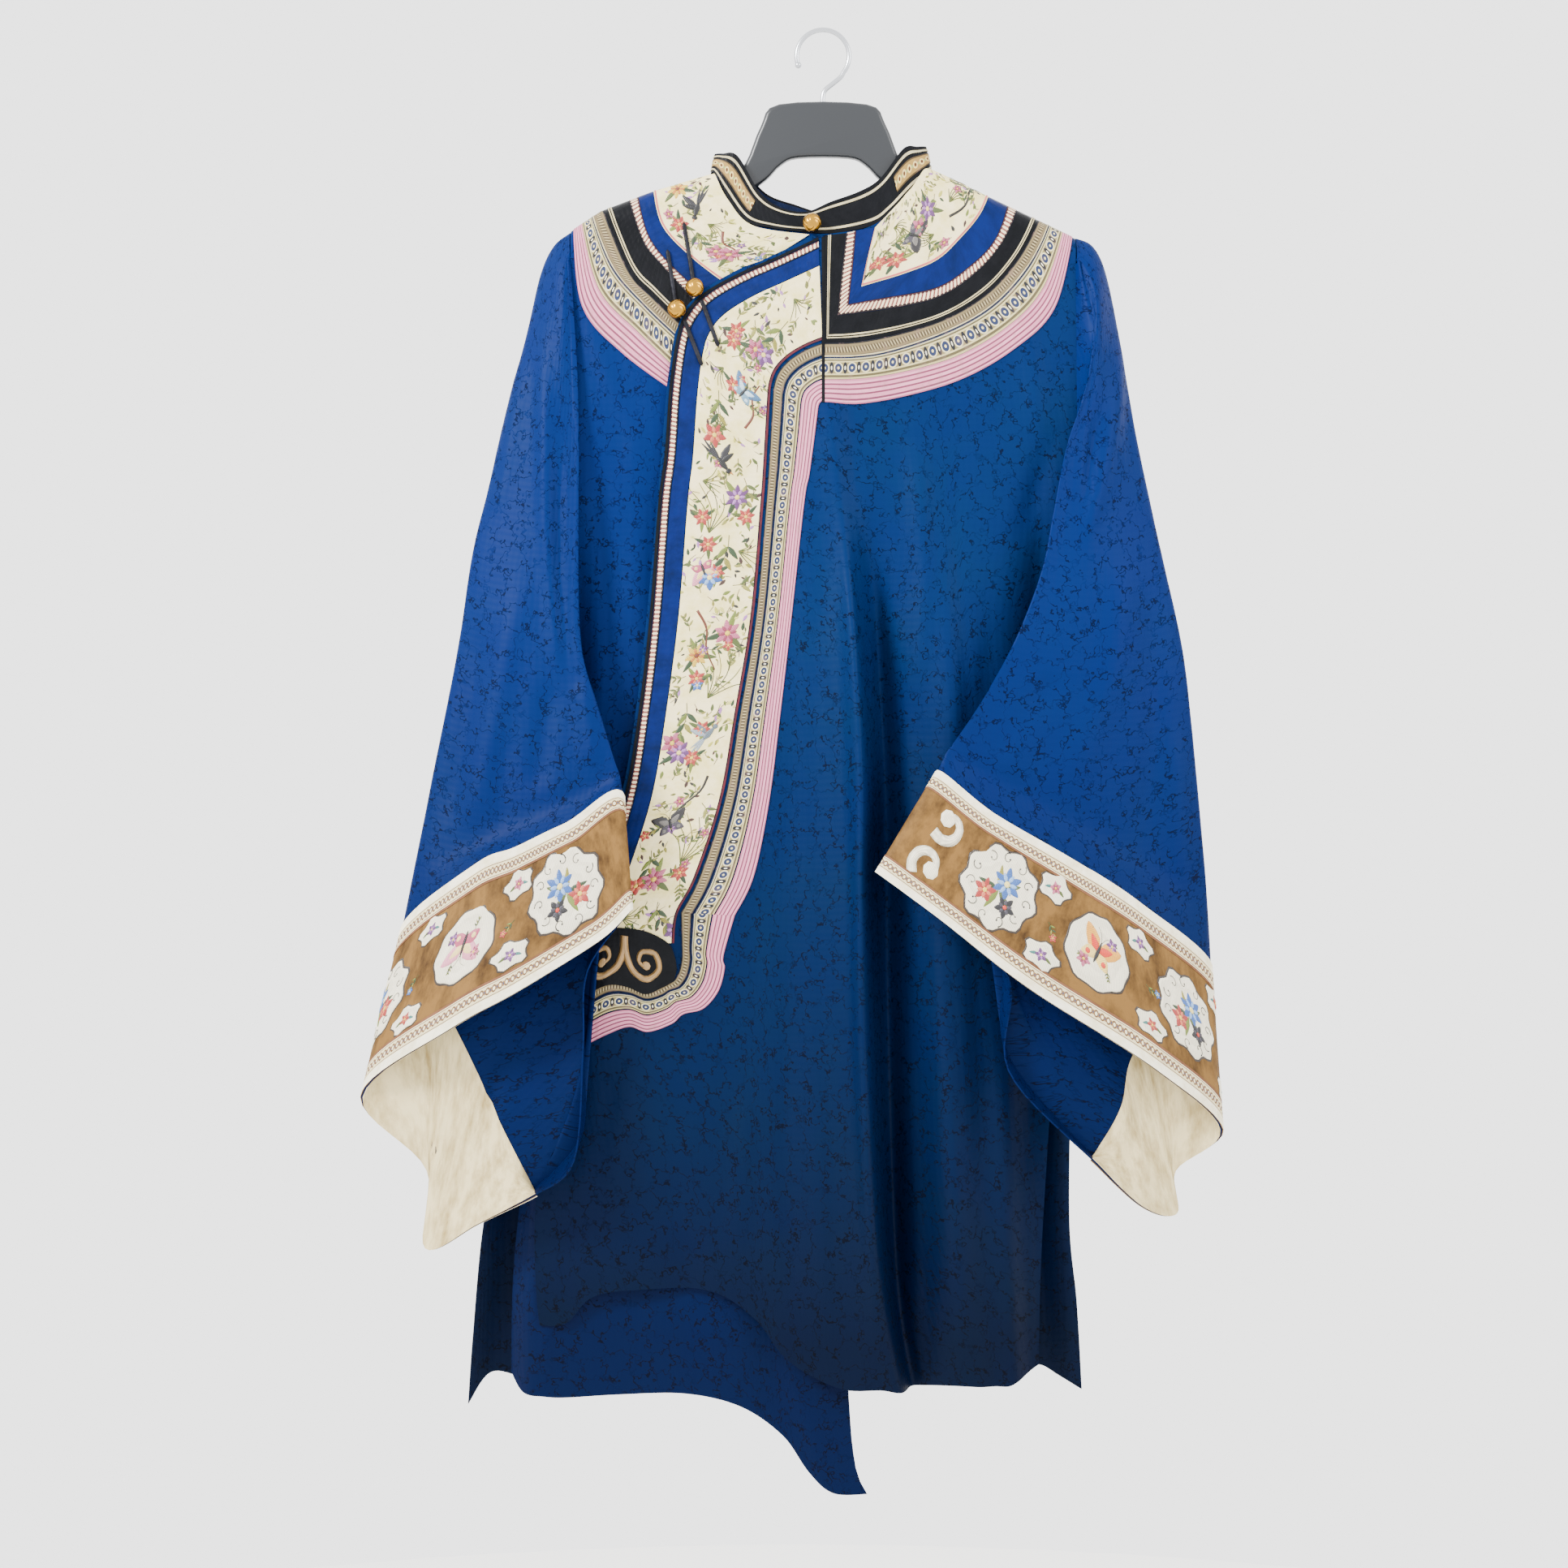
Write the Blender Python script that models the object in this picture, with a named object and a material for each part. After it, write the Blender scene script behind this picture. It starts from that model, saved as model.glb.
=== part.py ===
"""A side-fastening silk robe that hangs on a plain hanger.

Lengths are in millimetres until a mesh is written. X is to the viewer's right, Y away from the viewer and
Z up, and the origin is the inside top of the hanger's hook. Every cloth piece is a wall of its own, made from
a grid of points on the piece's middle surface. Ribbons are made from the cloth under them, moved out.
"""

import math

import bpy
import bmesh
from mathutils import Matrix, Vector
from mathutils.bvhtree import BVHTree

MM = 0.001
CLOTH = 1.6
RIBBON = 0.8
RIBBON_LIFT = 1.0
CUFF_LIFT = 0.5
COLLAR_RISE = 1.6
COLLAR_WALL = 2.4
FROG_WIDE = 3.6
FROG_THICK = 2.0
BUTTON_RADIUS = 7.5
HANGER_THICK = 12.0
HANGER_ROUND = 3.6
ROD_RADIUS = 2.0
HOOK_RADIUS = 21.0

# How the cloth lies: the round over the hanger, then the slow fall forward below it
SHOULDER_ROUND = 14.0
CHEST_DROP = 10.0
CHEST_REACH = 160.0
BACK_DROP = 8.0
OVERLAP_STEP = 4.5
UNDER_RECESS = 8.0
ARMHOLE_X = 201.2
SLEEVE_X = 203.4
UNDERARM_X = 204.4
UNDERARM_Z = -514.0
SIDE_SEAM_Y = 1.1
SIDE_CURL = 0.16
# Each panel stops this far under the ridge, so the front and the back don't meet there
RIDGE_GAP = 0.006
# The most that a wall's inner face is moved in at a sharp fold, in wall thicknesses
FOLD_CAP = 4.0

# The cloth's outer ridge over the hanger, from sleeve to sleeve (x, z)
RIDGE = [(-230, -181), (-204, -162), (-178, -145), (-139, -130), (-87, -114), (0, -84),
         (85, -110), (134, -134), (214, -172), (230, -180)]

COLOURS = {
    "silk_damask": (0.012, 0.055, 0.21, 0.55),
    "sleeve_damask": (0.018, 0.075, 0.29, 0.55),
    "black_satin": (0.010, 0.010, 0.013, 0.4),
    "cream_silk": (0.86, 0.80, 0.62, 0.6),
    "blue_bias": (0.016, 0.075, 0.31, 0.5),
    "check_ribbon": (0.62, 0.42, 0.38, 0.7),
    "tan_ribbon": (0.39, 0.32, 0.21, 0.7),
    "figured_ribbon": (0.48, 0.43, 0.26, 0.7),
    "pink_ribbon": (0.77, 0.45, 0.54, 0.6),
    "dark_cord": (0.05, 0.012, 0.016, 0.6),
    "gold_band": (0.42, 0.27, 0.13, 0.7),
    "ivory_silk": (0.74, 0.66, 0.42, 0.6),
    "gilt_brass": (0.62, 0.38, 0.11, 0.35),
    "grey_plastic": (0.07, 0.085, 0.10, 0.45),
    "steel": (0.55, 0.56, 0.58, 0.3),
}


# Small mathematics

def mix(a, b, t):
    return tuple(p + (q - p) * t for p, q in zip(a, b))


def smooth(t):
    t = min(max(t, 0.0), 1.0)
    return t * t * (3 - 2 * t)


def along(points, t):
    """The point at index t, a real number, on a smooth curve through the points."""
    last = len(points) - 1
    i = min(int(t), last - 1)
    f = t - i
    p1, p2 = points[i], points[i + 1]
    p0 = points[i - 1] if i else p1
    p3 = points[i + 2] if i + 2 <= last else p2
    return tuple(0.5 * (2 * b + (c - a) * f + (2 * a - 5 * b + 4 * c - d) * f * f
                        + (3 * b - a - 3 * c + d) * f ** 3)
                 for a, b, c, d in zip(p0, p1, p2, p3))


def straight(points, t):
    """The point at index t on the straight runs between the points."""
    i = min(int(t), len(points) - 2)
    return mix(points[i], points[i + 1], t - i)


def by_length(points, share):
    """The point at this share of the length of the straight runs between the points."""
    steps = [math.dist(a, b) for a, b in zip(points, points[1:])]
    goal = share * sum(steps)
    for i, step in enumerate(steps):
        if goal <= step or i == len(steps) - 1:
            return mix(points[i], points[i + 1], goal / step if step else 0.0)
        goal -= step


def ridge_height(x):
    for (xa, za), (xb, zb) in zip(RIDGE, RIDGE[1:]):
        if x <= xb:
            return za + (zb - za) * (x - xa) / (xb - xa)
    return RIDGE[-1][1]


def under_ridge(x, z):
    return x, min(z, ridge_height(x) - RIDGE_GAP)


def shoulder_angle(x, z):
    """How far round the shoulder the cloth has turned: 0 on the ridge, a right angle where it hangs."""
    drop = ridge_height(x) - z
    return math.acos(min(max(1 - drop / SHOULDER_ROUND, 0.0), 1.0))


def front_depth(x, z):
    drop = ridge_height(x) - z
    return -(SHOULDER_ROUND * math.sin(shoulder_angle(x, z)) + CHEST_DROP * smooth(drop / CHEST_REACH))


def back_depth(x, z):
    drop = ridge_height(x) - z
    return SHOULDER_ROUND * math.sin(shoulder_angle(x, z)) + BACK_DROP * smooth(drop / CHEST_REACH)


def side_pull(z):
    """0 above the chest, 1 from the underarm down to the slit, then the hem opens a little."""
    return smooth((-380 - z) / 134) * (1 - 0.35 * smooth((-760 - z) / 250))


# Panels. A line is a row of the cloth's fold table: where it leaves the top edge, where it meets the hem, and
# how far the cloth stands out there (+ towards its own outer side) at the top, chest, waist and hem.

LINE_HEIGHTS = (0.0, 0.2, 0.5, 1.0)

OVERLAP_LINES = [
    # top x, top z, hem x, hem z, crest at top, chest, waist, hem
    (-110, -225, -225, -1032, 0, 0, -2, -7),
    (-95, -210, -204, -1030, 0, 0, -1, -6),
    (-68, -194, -183, -1009, 0, 0, 0, -4),
    (-50, -187, -145, -1003, 0, 0, 0, -3),
    (-37, -181, -90, -1004, 0, 0, -1, -3),
    (-26, -176, -54, -1026, 0, 0, -2, -1),
    (-20, -173, -28, -1058, 0, 1, -1, 3),
    (-15, -170, 12, -1079, 0, 2, 5, 8),
    (-11, -168, 45, -1080, 0, 4, 14, 14),
    (-7, -166, 61, -1082, 0, 5, 18, 18),
    (0, -165.5, 70, -1081, 0, 3, 2, -8),
    (12, -164.5, 82, -1080, 0, -1, -8, -6),
    (34, -160.5, 98, -1079, 0, 0, -2, 1),
    (54, -148, 112, -1079, 0, 1, 4, 5),
    (71, -132, 125, -1080, 0, 0, 6, 3),
    (86, -109.5, 137, -1080, 0, -1, 1, -1),
    (110, -121, 147, -1080, 0, 0, -2, 0),
    (134, -133, 155, -1076, 0, 0, 0, 3),
    (168, -149, 164, -1070, 0, 0, -2, 0),
    (ARMHOLE_X, -165, 172, -1065, 0, 0, 0, 0),
]
OVERLAP_LEFT = [(-110, -225), (-118, -246), (-124, -286), (-130, -360), (-140, -469), (-149, -547), (-160, -610),
                (-180, -675), (-201, -746), (-213, -817), (-223, -880), (-229, -947), (-228, -1005), (-225, -1032)]
OVERLAP_RIGHT = [(ARMHOLE_X, -165), (ARMHOLE_X, -340), (ARMHOLE_X, UNDERARM_Z), (197, -624), (189, -754),
                 (180, -884), (174, -981), (172, -1065)]

UNDER_LINES = [
    (-ARMHOLE_X, -159, -249, -1071, 0, 0, 0, 0),
    (-178, -144, -239, -1086, 0, 0, -1, 1),
    (-152, -134, -222, -1089, 0, 0, 0, 3),
    (-125, -124, -203, -1090, 0, 0, 2, 1),
    (-105, -118, -160, -1088, 0, 0, 0, -2),
    (-88, -113, -109, -1087, 0, 0, 0, 1),
    (-78, -136, -66, -1097, 0, 0, 0, 2),
    (-62, -154.5, -32, -1121, 0, 0, 0, -1),
    (-42, -160.5, -11, -1150, 0, 0, 0, 0),
    (-18, -163.5, 8, -1166, 0, 0, 0, 2),
    (-2, -166, 35, -1167, 0, 0, 0, 0),
]
UNDER_LEFT = [(-ARMHOLE_X, -159), (-ARMHOLE_X, -340), (-ARMHOLE_X, UNDERARM_Z), (-210, -624), (-222, -753),
              (-236, -883), (-247, -987), (-249, -1071)]
UNDER_RIGHT = [(-2, -166), (4, -400), (10, -624), (20, -1085), (35, -1167)]

BACK_LINES = [
    (-ARMHOLE_X, -159, -285, -1100, 0, 0, 0, 0),
    (-178, -144, -268, -1076, 0, 0, 3, 4),
    (-139, -129, -240, -1080, 0, 0, -2, -3),
    (-88, -113, -200, -1084, 0, 1, 3, 5),
    (-78, -136, -150, -1086, 0, 0, -2, -3),
    (-62, -152, -110, -1087, 0, 0, 4, 6),
    (-32, -162, -60, -1087, 0, 1, 0, -3),
    (0, -166, -10, -1086, 0, 0, 5, 7),
    (34, -161, 40, -1086, 0, -1, -2, -2),
    (60, -149, 85, -1085, 0, 1, 4, 5),
    (75, -133, 120, -1083, 0, 0, 0, -3),
    (86, -109.5, 148, -1080, 0, -1, 3, 4),
    (134, -133, 172, -1070, 0, 0, -2, -2),
    (168, -149, 190, -1078, 0, 0, 2, 3),
    (ARMHOLE_X, -165, 208, -1088, 0, 0, 0, 0),
]
BACK_LEFT = [(-ARMHOLE_X, -159), (-ARMHOLE_X, -340), (-ARMHOLE_X, UNDERARM_Z), (-212, -640), (-231, -755),
             (-258, -886), (-273, -958), (-281, -1043), (-285, -1100)]
BACK_RIGHT = [(ARMHOLE_X, -165), (ARMHOLE_X, -340), (ARMHOLE_X, UNDERARM_Z), (201, -624), (199, -821),
              (198, -952), (204, -1017), (208, -1088)]


def line_place(lines, u):
    """Top point, hem point and crests of the panel's line at u, from 0 to 1."""
    row = along(lines, u * (len(lines) - 1))
    return row[0:2], row[2:4], row[4:8]


def crest_at(crests, v):
    for i, (low, high) in enumerate(zip(LINE_HEIGHTS, LINE_HEIGHTS[1:])):
        if v <= high:
            return crests[i] + (crests[i + 1] - crests[i]) * smooth((v - low) / (high - low))
    return crests[-1]


def panel_place(lines, left, right, u, v):
    """x and z: the straight way from top to hem, pushed sideways by how far each side bows."""
    top, hem, _ = line_place(lines, u)
    place = mix(top, hem, v)
    for side, share in ((left, 1 - u), (right, u)):
        bow = by_length(side, v)
        chord = mix(side[0], side[-1], v)
        place = tuple(p + share * (b - c) for p, b, c in zip(place, bow, chord))
    return under_ridge(*place)


def overlap_point(u, v):
    x, z = panel_place(OVERLAP_LINES, OVERLAP_LEFT, OVERLAP_RIGHT, u, v)
    crest = crest_at(line_place(OVERLAP_LINES, u)[2], v)
    step = OVERLAP_STEP * smooth((62 - x) / 34)
    y = front_depth(x, z) - step * smooth((ridge_height(x) - z) / 40) - crest
    curl = smooth(1 - (1 - u) / SIDE_CURL) * side_pull(z)
    return x, y * (1 - curl) - SIDE_SEAM_Y * curl, z


def under_point(u, v):
    x, z = panel_place(UNDER_LINES, UNDER_LEFT, UNDER_RIGHT, u, v)
    crest = crest_at(line_place(UNDER_LINES, u)[2], v)
    y = front_depth(x, z) - crest + UNDER_RECESS * smooth((-300 - z) / 150)
    curl = smooth(1 - u / SIDE_CURL) * side_pull(z)
    return x, y * (1 - curl) - SIDE_SEAM_Y * curl, z


def back_point(u, v):
    x, z = panel_place(BACK_LINES, BACK_LEFT, BACK_RIGHT, u, v)
    crest = crest_at(line_place(BACK_LINES, u)[2], v)
    y = back_depth(x, z) + crest
    edge = smooth(1 - u / SIDE_CURL) + smooth(1 - (1 - u) / SIDE_CURL)
    curl = edge * side_pull(z)
    return x, y * (1 - curl) + SIDE_SEAM_Y * curl, z


def rows_down(count, crowd=1.7):
    """Shares down a panel, crowded at the top where the cloth turns over the hanger."""
    return [(k / count) ** crowd for k in range(count + 1)]


# Walls

def new_object(name, mesh, material):
    thing = bpy.data.objects.new(name, mesh)
    bpy.context.scene.collection.objects.link(thing)
    mesh.materials.append(bpy.data.materials[material])
    return thing


def skin_mesh(points, closed_from=None):
    """A triangle mesh through a grid of points. Rows from closed_from on join their ends."""
    net = bmesh.new()
    level, place = net.verts.layers.int.new("row"), net.verts.layers.int.new("column")
    level, place = net.verts.layers.int["row"], net.verts.layers.int["column"]
    rows = [[net.verts.new(Vector(p) * MM) for p in row] for row in points]
    for i, row in enumerate(rows):
        for j, v in enumerate(row):
            v[level], v[place] = i, j
        if closed_from is not None and i >= closed_from:
            row[0][place] = len(row) - 1
    for top, low in zip(rows, rows[1:]):
        for a, b, c, d in zip(top, top[1:], low[1:], low):
            net.faces.new((a, b, c))
            net.faces.new((a, c, d))
    if closed_from is not None:
        seam = [v for row in rows[closed_from:] for v in (row[0], row[-1])]
        bmesh.ops.remove_doubles(net, verts=seam, dist=0.0001)
    return net


def fold_shift(v, *distances):
    """Moves along the normal that keep the wall's thickness inside a sharp fold."""
    sharp = min(v.calc_shell_factor(), FOLD_CAP)
    away = sum((e.other_vert(v).co - v.co).dot(v.normal) for e in v.link_edges)
    hollow = 1 if away > 0 else -1
    return [v.normal * (d * MM * (sharp if d * hollow > 0 else 1)) for d in distances]


def make_wall(name, net, material, thick, lift=0.0, first=(0, 0)):
    """A closed wall about the net from the first row and column on, moved out by lift along its normals."""
    net.normal_update()
    level, place = net.verts.layers.int["row"], net.verts.layers.int["column"]
    half = thick / 2
    shifts = {v: fold_shift(v, lift + half, lift - half) for v in net.verts}
    spare = [v for v in net.verts if v[level] < first[0] or v[place] < first[1]]
    bmesh.ops.delete(net, geom=spare, context="VERTS")
    base = list(net.verts)
    edges = [e for e in net.edges if e.is_boundary]
    skins = list(net.faces)
    inner = {v: net.verts.new(v.co + shifts[v][1]) for v in base}
    for v in base:
        v.co = v.co + shifts[v][0]
    for face in skins:
        net.faces.new([inner[v] for v in reversed(face.verts)])
    for e in edges:
        a, b = e.verts
        if e.link_loops[0].vert is not a:
            a, b = b, a
        net.faces.new((b, a, inner[a]))
        net.faces.new((b, inner[a], inner[b]))
    bmesh.ops.recalc_face_normals(net, faces=net.faces)
    mesh = bpy.data.meshes.new(name)
    net.to_mesh(mesh)
    net.free()
    mesh.shade_smooth()
    mesh.set_sharp_from_angle(angle=math.radians(50))
    return new_object(name, mesh, material)


def panel_grid(point, columns, rows):
    return [[point(k / columns, v) for k in range(columns + 1)] for v in rows_down(rows)]


def make_panel(name, point, columns, rows, material):
    make_wall(name, skin_mesh(panel_grid(point, columns, rows)), material, CLOTH)


# Sleeves. Upper rows give the outer fold, the inner fold and the join to the body (x, z, y). Two full rings
# close the tube: where the cuff band is sewn on, and the open mouth.

def sleeve_upper(side):
    if side == "left":
        return [
            ((-204, -163, 0), (-203, -185, -16), -188),
            ((-215, -172, 0), (-198, -234, -24), -238),
            ((-225, -194, -2), (-195, -283, -30), -289),
            ((-236, -241, -4), (-194, -332, -34), -346),
            ((-252, -303, -8), (-194, -380, -38), -404),
            ((-266, -365, -12), (-194, -432, -42), -459),
            ((-279, -420, -16), (-193, -474, -46), UNDERARM_Z),
            ((-289, -488, -20), (-189, -506, -52), (-199, -559, -24)),
            ((-302, -559, -25), (-176, -547, -58), (-192, -630, -35)),
            ((-316, -633, -30), (-165, -582, -64), (-189, -720, -42)),
            ((-324, -674, -34), (-160, -597, -66), (-191, -834, -44)),
        ]
    return [
        ((204, -168, 0), (204, -186, -16), -188),
        ((215, -171, 0), (213, -228, -26), -238),
        ((225, -192, -2), (213, -258, -34), -289),
        ((235, -238, -4), (205, -297, -40), -346),
        ((245, -297, -8), (191, -339, -46), -404),
        ((255, -352, -12), (181, -389, -50), -459),
        ((267, -411, -16), (171, -436, -54), UNDERARM_Z),
        ((284, -488, -20), (150, -490, -60), (197, -559, -26)),
        ((292, -559, -25), (125, -535, -64), (183, -624, -42)),
        ((299, -637, -30), (103, -568, -68), (163, -681, -48)),
        ((303, -694, -34), (95, -580, -70), (147, -751, -52)),
    ]


# Join, three on the returning layer, inner fold, three on the front layer, outer fold, three on the back layer
SLEEVE_RINGS = {
    "left": [
        [(-229, -923, -40), (-191, -879, -42), (-189, -815, -44), (-187, -751, -47), (-157, -612, -68),
         (-201, -633, -72), (-240, -651, -70), (-272, -665, -64), (-332, -715, -38),
         (-310, -758, -36), (-282, -811, -37), (-256, -867, -38)],
        [(-225, -923, -62), (-195, -896, -68), (-188, -807, -70), (-184, -747, -71), (-150, -700, -79),
         (-172, -722, -84), (-236, -762, -84), (-291, -793, -75), (-365, -849, -36),
         (-314, -908, -26), (-315, -970, -26), (-271, -948, -44)],
    ],
    "right": [
        [(212, -896, -44), (145, -815, -50), (140, -745, -53), (134, -674, -57), (88, -593, -72),
         (132, -625, -78), (197, -663, -76), (249, -697, -66), (305, -745, -38),
         (272, -777, -33), (243, -818, -35), (234, -857, -40)],
        [(209, -895, -64), (144, -825, -68), (144, -753, -68), (88, -706, -70), (41, -671, -76),
         (91, -708, -86), (158, -760, -90), (255, -822, -76), (314, -875, -36),
         (280, -909, -21), (280, -943, -22), (250, -934, -46)],
    ],
}
RETURN_SHARES = (0.3, 0.6, 0.86)
FRONT_SHARES = ((0.14, 2.5), (0.46, 9.0), (0.8, 7.5))
BACK_SHARES = ((0.2, 7.0), (0.5, 9.0), (0.8, 6.0))
CUFF_STEPS = 2
RING_STEP = 2
FIRST_CLOSED_RING = 6
# The inner fold's key on a ring: the band and the facing start there, clear of the returning layer
INNER_FOLD = 4


def armhole_depth(side, z, back=False):
    """How far forward or back the body panel's armhole edge lies at this height."""
    x = ARMHOLE_X if side == "right" else -ARMHOLE_X
    pull = side_pull(z)
    depth = back_depth(x, z) if back else front_depth(x, z)
    if side == "left" and not back:
        depth += UNDER_RECESS * smooth((-300 - z) / 150)
    return depth * (1 - pull) + (SIDE_SEAM_Y if back else -SIDE_SEAM_Y) * pull


def upper_ring(side, row):
    """The ring's thirteen key points from its outer fold, inner fold and join, as (x, y, z)."""
    outer, inner, join = row
    sign = 1 if side == "right" else -1
    open_ring = not isinstance(join, tuple)
    if open_ring:
        z = join
        start = (sign * SLEEVE_X, armhole_depth(side, z), z)
        end = (sign * SLEEVE_X, armhole_depth(side, z, back=True), z)
        if z == UNDERARM_Z:
            start = end = (sign * UNDERARM_X, 0.0, z)
    else:
        start = end = (join[0], join[2], join[1])
    outer = (outer[0], outer[2], outer[1])
    inner = (inner[0], inner[2], inner[1])
    size = min(1.0, math.dist(outer, inner) / 70)
    keys = [start]
    for share in RETURN_SHARES:
        x, y, z = mix(start, inner, share)
        lead = 1.5 * math.sin(math.pi * share) if open_ring else 0.0
        keys.append((x + sign * lead, y - 2 * lead, z))
    keys.append(inner)
    for share, bulge in FRONT_SHARES:
        x, y, z = mix(inner, outer, share)
        keys.append((x, y - bulge * size, z))
    keys.append(outer)
    for share, bulge in BACK_SHARES:
        x, y, z = mix(outer, end, share)
        keys.append((x, y + bulge * size, z))
    keys.append(end)
    return keys


def full_ring(row):
    keys = [(x, y, z) for x, z, y in row]
    return keys + [keys[0]]


def sleeve_keys(side):
    rings = [upper_ring(side, row) for row in sleeve_upper(side)]
    sewn, mouth = (full_ring(row) for row in SLEEVE_RINGS[side])
    cuff = [[mix(a, b, k / CUFF_STEPS) for a, b in zip(sewn, mouth)] for k in range(CUFF_STEPS + 1)]
    return rings + cuff


def ring_points(keys):
    count = (len(keys) - 1) * RING_STEP
    return [along(keys, k / RING_STEP) for k in range(count + 1)]


def make_sleeve(side):
    rings = [ring_points(keys) for keys in sleeve_keys(side)]
    net = skin_mesh(rings, FIRST_CLOSED_RING)
    out = outward_sign(net)
    make_wall("sleeve_" + side, net, "sleeve_damask", CLOTH)
    lift = out * ((CLOTH + RIBBON) / 2 + CUFF_LIFT)
    sewn = len(rings) - CUFF_STEPS - 1
    for name, material, way, key in (("cuff_band_", "gold_band", lift, INNER_FOLD),
                                     ("cuff_facing_", "ivory_silk", -lift, INNER_FOLD + 1)):
        whole = skin_mesh(rings, FIRST_CLOSED_RING)
        make_wall(name + side, whole, material, RIBBON, way, (sewn, key * RING_STEP))


def outward_sign(net):
    """1 where the net's normals point out of the tube at its mouth, and -1 where they point in."""
    net.normal_update()
    net.verts.ensure_lookup_table()
    mouth = [v for v in net.verts if v.is_boundary and v.co.z < UNDERARM_Z * MM]
    centre = sum((v.co for v in mouth), Vector()) / len(mouth)
    facing = sum((v.co - centre).dot(v.normal) for v in mouth)
    return 1 if facing > 0 else -1


# Ribbons on the fronts and the back

YOKE_NAMES = ["cream", "blue", "check", "black", "tan", "figured", "pink"]
YOKE_MATERIALS = ["cream_silk", "blue_bias", "check_ribbon", "black_satin", "tan_ribbon", "figured_ribbon",
                  "pink_ribbon"]

# Outer edges of the right front's yoke ribbons, from the centre seam to the shoulder ridge. The first four turn
# the corner beside the seam, so they start at the neck.
YOKE_RIGHT = [
    [(41, -160), (35, -184), (30, -208), (66, -196), (91, -185), (109, -168), (124, -150), (133, -132)],
    [(26, -163), (23, -196), (20, -222), (50, -216), (91, -207), (119, -188), (137, -168), (148, -139)],
    [(18, -165), (14, -200), (11, -231), (46, -226), (90, -216), (121, -196), (142, -172), (156, -143)],
    [(1, -167), (1, -210), (1, -253), (37, -250), (91, -235), (129, -213), (155, -184), (173, -151)],
    [(1, -264), (43, -261), (95, -244), (134, -222), (163, -190), (181, -155)],
    [(1, -282), (43, -279), (102, -264), (147, -238), (175, -207), (192, -160)],
    [(1, -300), (37, -300), (102, -284), (150, -258), (184, -224), (199.5, -164)],
]
# The index of the corner on the edges that turn it
YOKE_CORNER = 2
YOKE_RIGHT_NECK = [(42, -159), (52, -149), (60, -141), (66, -135), (72, -129), (77, -122), (82, -115), (86, -112)]

# The same edges on the left front, from the shoulder ridge to the closing edge
YOKE_LEFT = [
    [(-136, -127), (-128, -158), (-104, -184), (-76, -206)],
    [(-148, -132), (-139, -165), (-122, -188), (-92, -216)],
    [(-156, -135), (-143, -171), (-128, -190), (-104, -217)],
    [(-176, -143), (-154, -195), (-135, -216), (-110, -240)],
    [(-185, -148), (-168, -190), (-142, -221), (-111, -251)],
    [(-193, -153), (-178, -209), (-146, -244), (-111, -278)],
    [(-199.5, -157), (-192, -222), (-160, -260), (-111, -296)],
]
YOKE_LEFT_NECK = [(-89, -116), (-78, -138), (-58, -159), (-14, -167)]

# The same rings on the back, from one shoulder ridge to the other, through the lowest point at the middle
YOKE_BACK_ENDS = [(-136, 133), (-148, 148), (-156, 156), (-176, 173), (-185, 181), (-193, 192), (-199.5, 199.5)]
YOKE_BACK_LOW = [-216, -232, -241, -263, -274, -292, -310]
BACK_NECK = [(-89, -116), (-80, -136), (-63, -153.5), (-32, -164), (0, -167.5), (34, -163), (61, -151),
             (76, -134.5), (87, -113)]

# How many rows the front and back yoke ribbons have, and how they crowd towards the ridge
YOKE_ROWS = 12
YOKE_BACK_ROWS = 20
YOKE_CROWD = 2.2

# The closing: its edge, the dark line inside the embroidered band and the pink ribbon's inner edge (x, z)
CLOSING = [
    ((-4, -168), (-1, -252), (-1, -299)),
    ((-36, -183), (-14, -257), (-1, -299)),
    ((-66, -196), (-27, -265), (-2, -300)),
    ((-93, -211), (-36, -275), (-3, -301)),
    ((-108, -226), (-40, -286), (-4, -304)),
    ((-116, -246), (-41, -296), (-5, -312)),
    ((-122, -286), (-42, -315), (-7, -328)),
    ((-126, -340), (-44, -350), (-11, -357)),
    ((-131, -379), (-46, -379), (-15, -379)),
    ((-138, -469), (-54, -469), (-25, -469)),
    ((-147, -547), (-67, -547), (-34, -547)),
    ((-158, -612), (-79, -614), (-43, -617)),
    ((-178, -675), (-99, -675), (-55, -675)),
    ((-189, -704), (-114, -704), (-70, -706)),
]
CLOSING_STRIPS = [
    # name, material, from edge, to edge (0 the closing edge, 1 the dark line, 2 the pink ribbon's inner edge)
    ("piping", "black_satin", 0.0, 0.03),
    ("check", "check_ribbon", 0.035, 0.105),
    ("blue", "blue_bias", 0.11, 0.27),
    ("embroidered", "cream_silk", 0.275, 0.955),
    ("cord", "dark_cord", 0.96, 0.985),
    ("tan", "tan_ribbon", 1.02, 1.24),
    ("figured", "figured_ribbon", 1.26, 1.62),
    ("pink", "pink_ribbon", 1.64, 2.0),
]
# Where the closing's inner strips end under the lobed head: their outer edge and the dark line
CLOSING_TAIL = ((-193, -726), (-117, -728))
CLOSING_INSET = 1.4
CLOSING_ROWS = 20
# The lobed end: the ribbons run from the head's edge out to the scallops, from the closing down and round
HEAD_EDGE = [(-113.6, -705.2), (-113, -728), (-113, -740), (-115, -750), (-119, -757), (-125, -760), (-131, -763),
             (-141, -765), (-154, -760), (-170, -758), (-190, -769)]
HEAD_SCALLOPS = [(-70, -707.4), (-79, -738), (-78, -748), (-83, -766), (-95, -780), (-111, -784.5), (-120, -792),
                 (-139, -798.5), (-154, -794.5), (-171, -800.5), (-188, -809)]
HEAD_STRIPS = [("tan", "tan_ribbon", 0.02, 0.22), ("figured", "figured_ribbon", 0.24, 0.58),
               ("pink", "pink_ribbon", 0.6, 1.0)]
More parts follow.
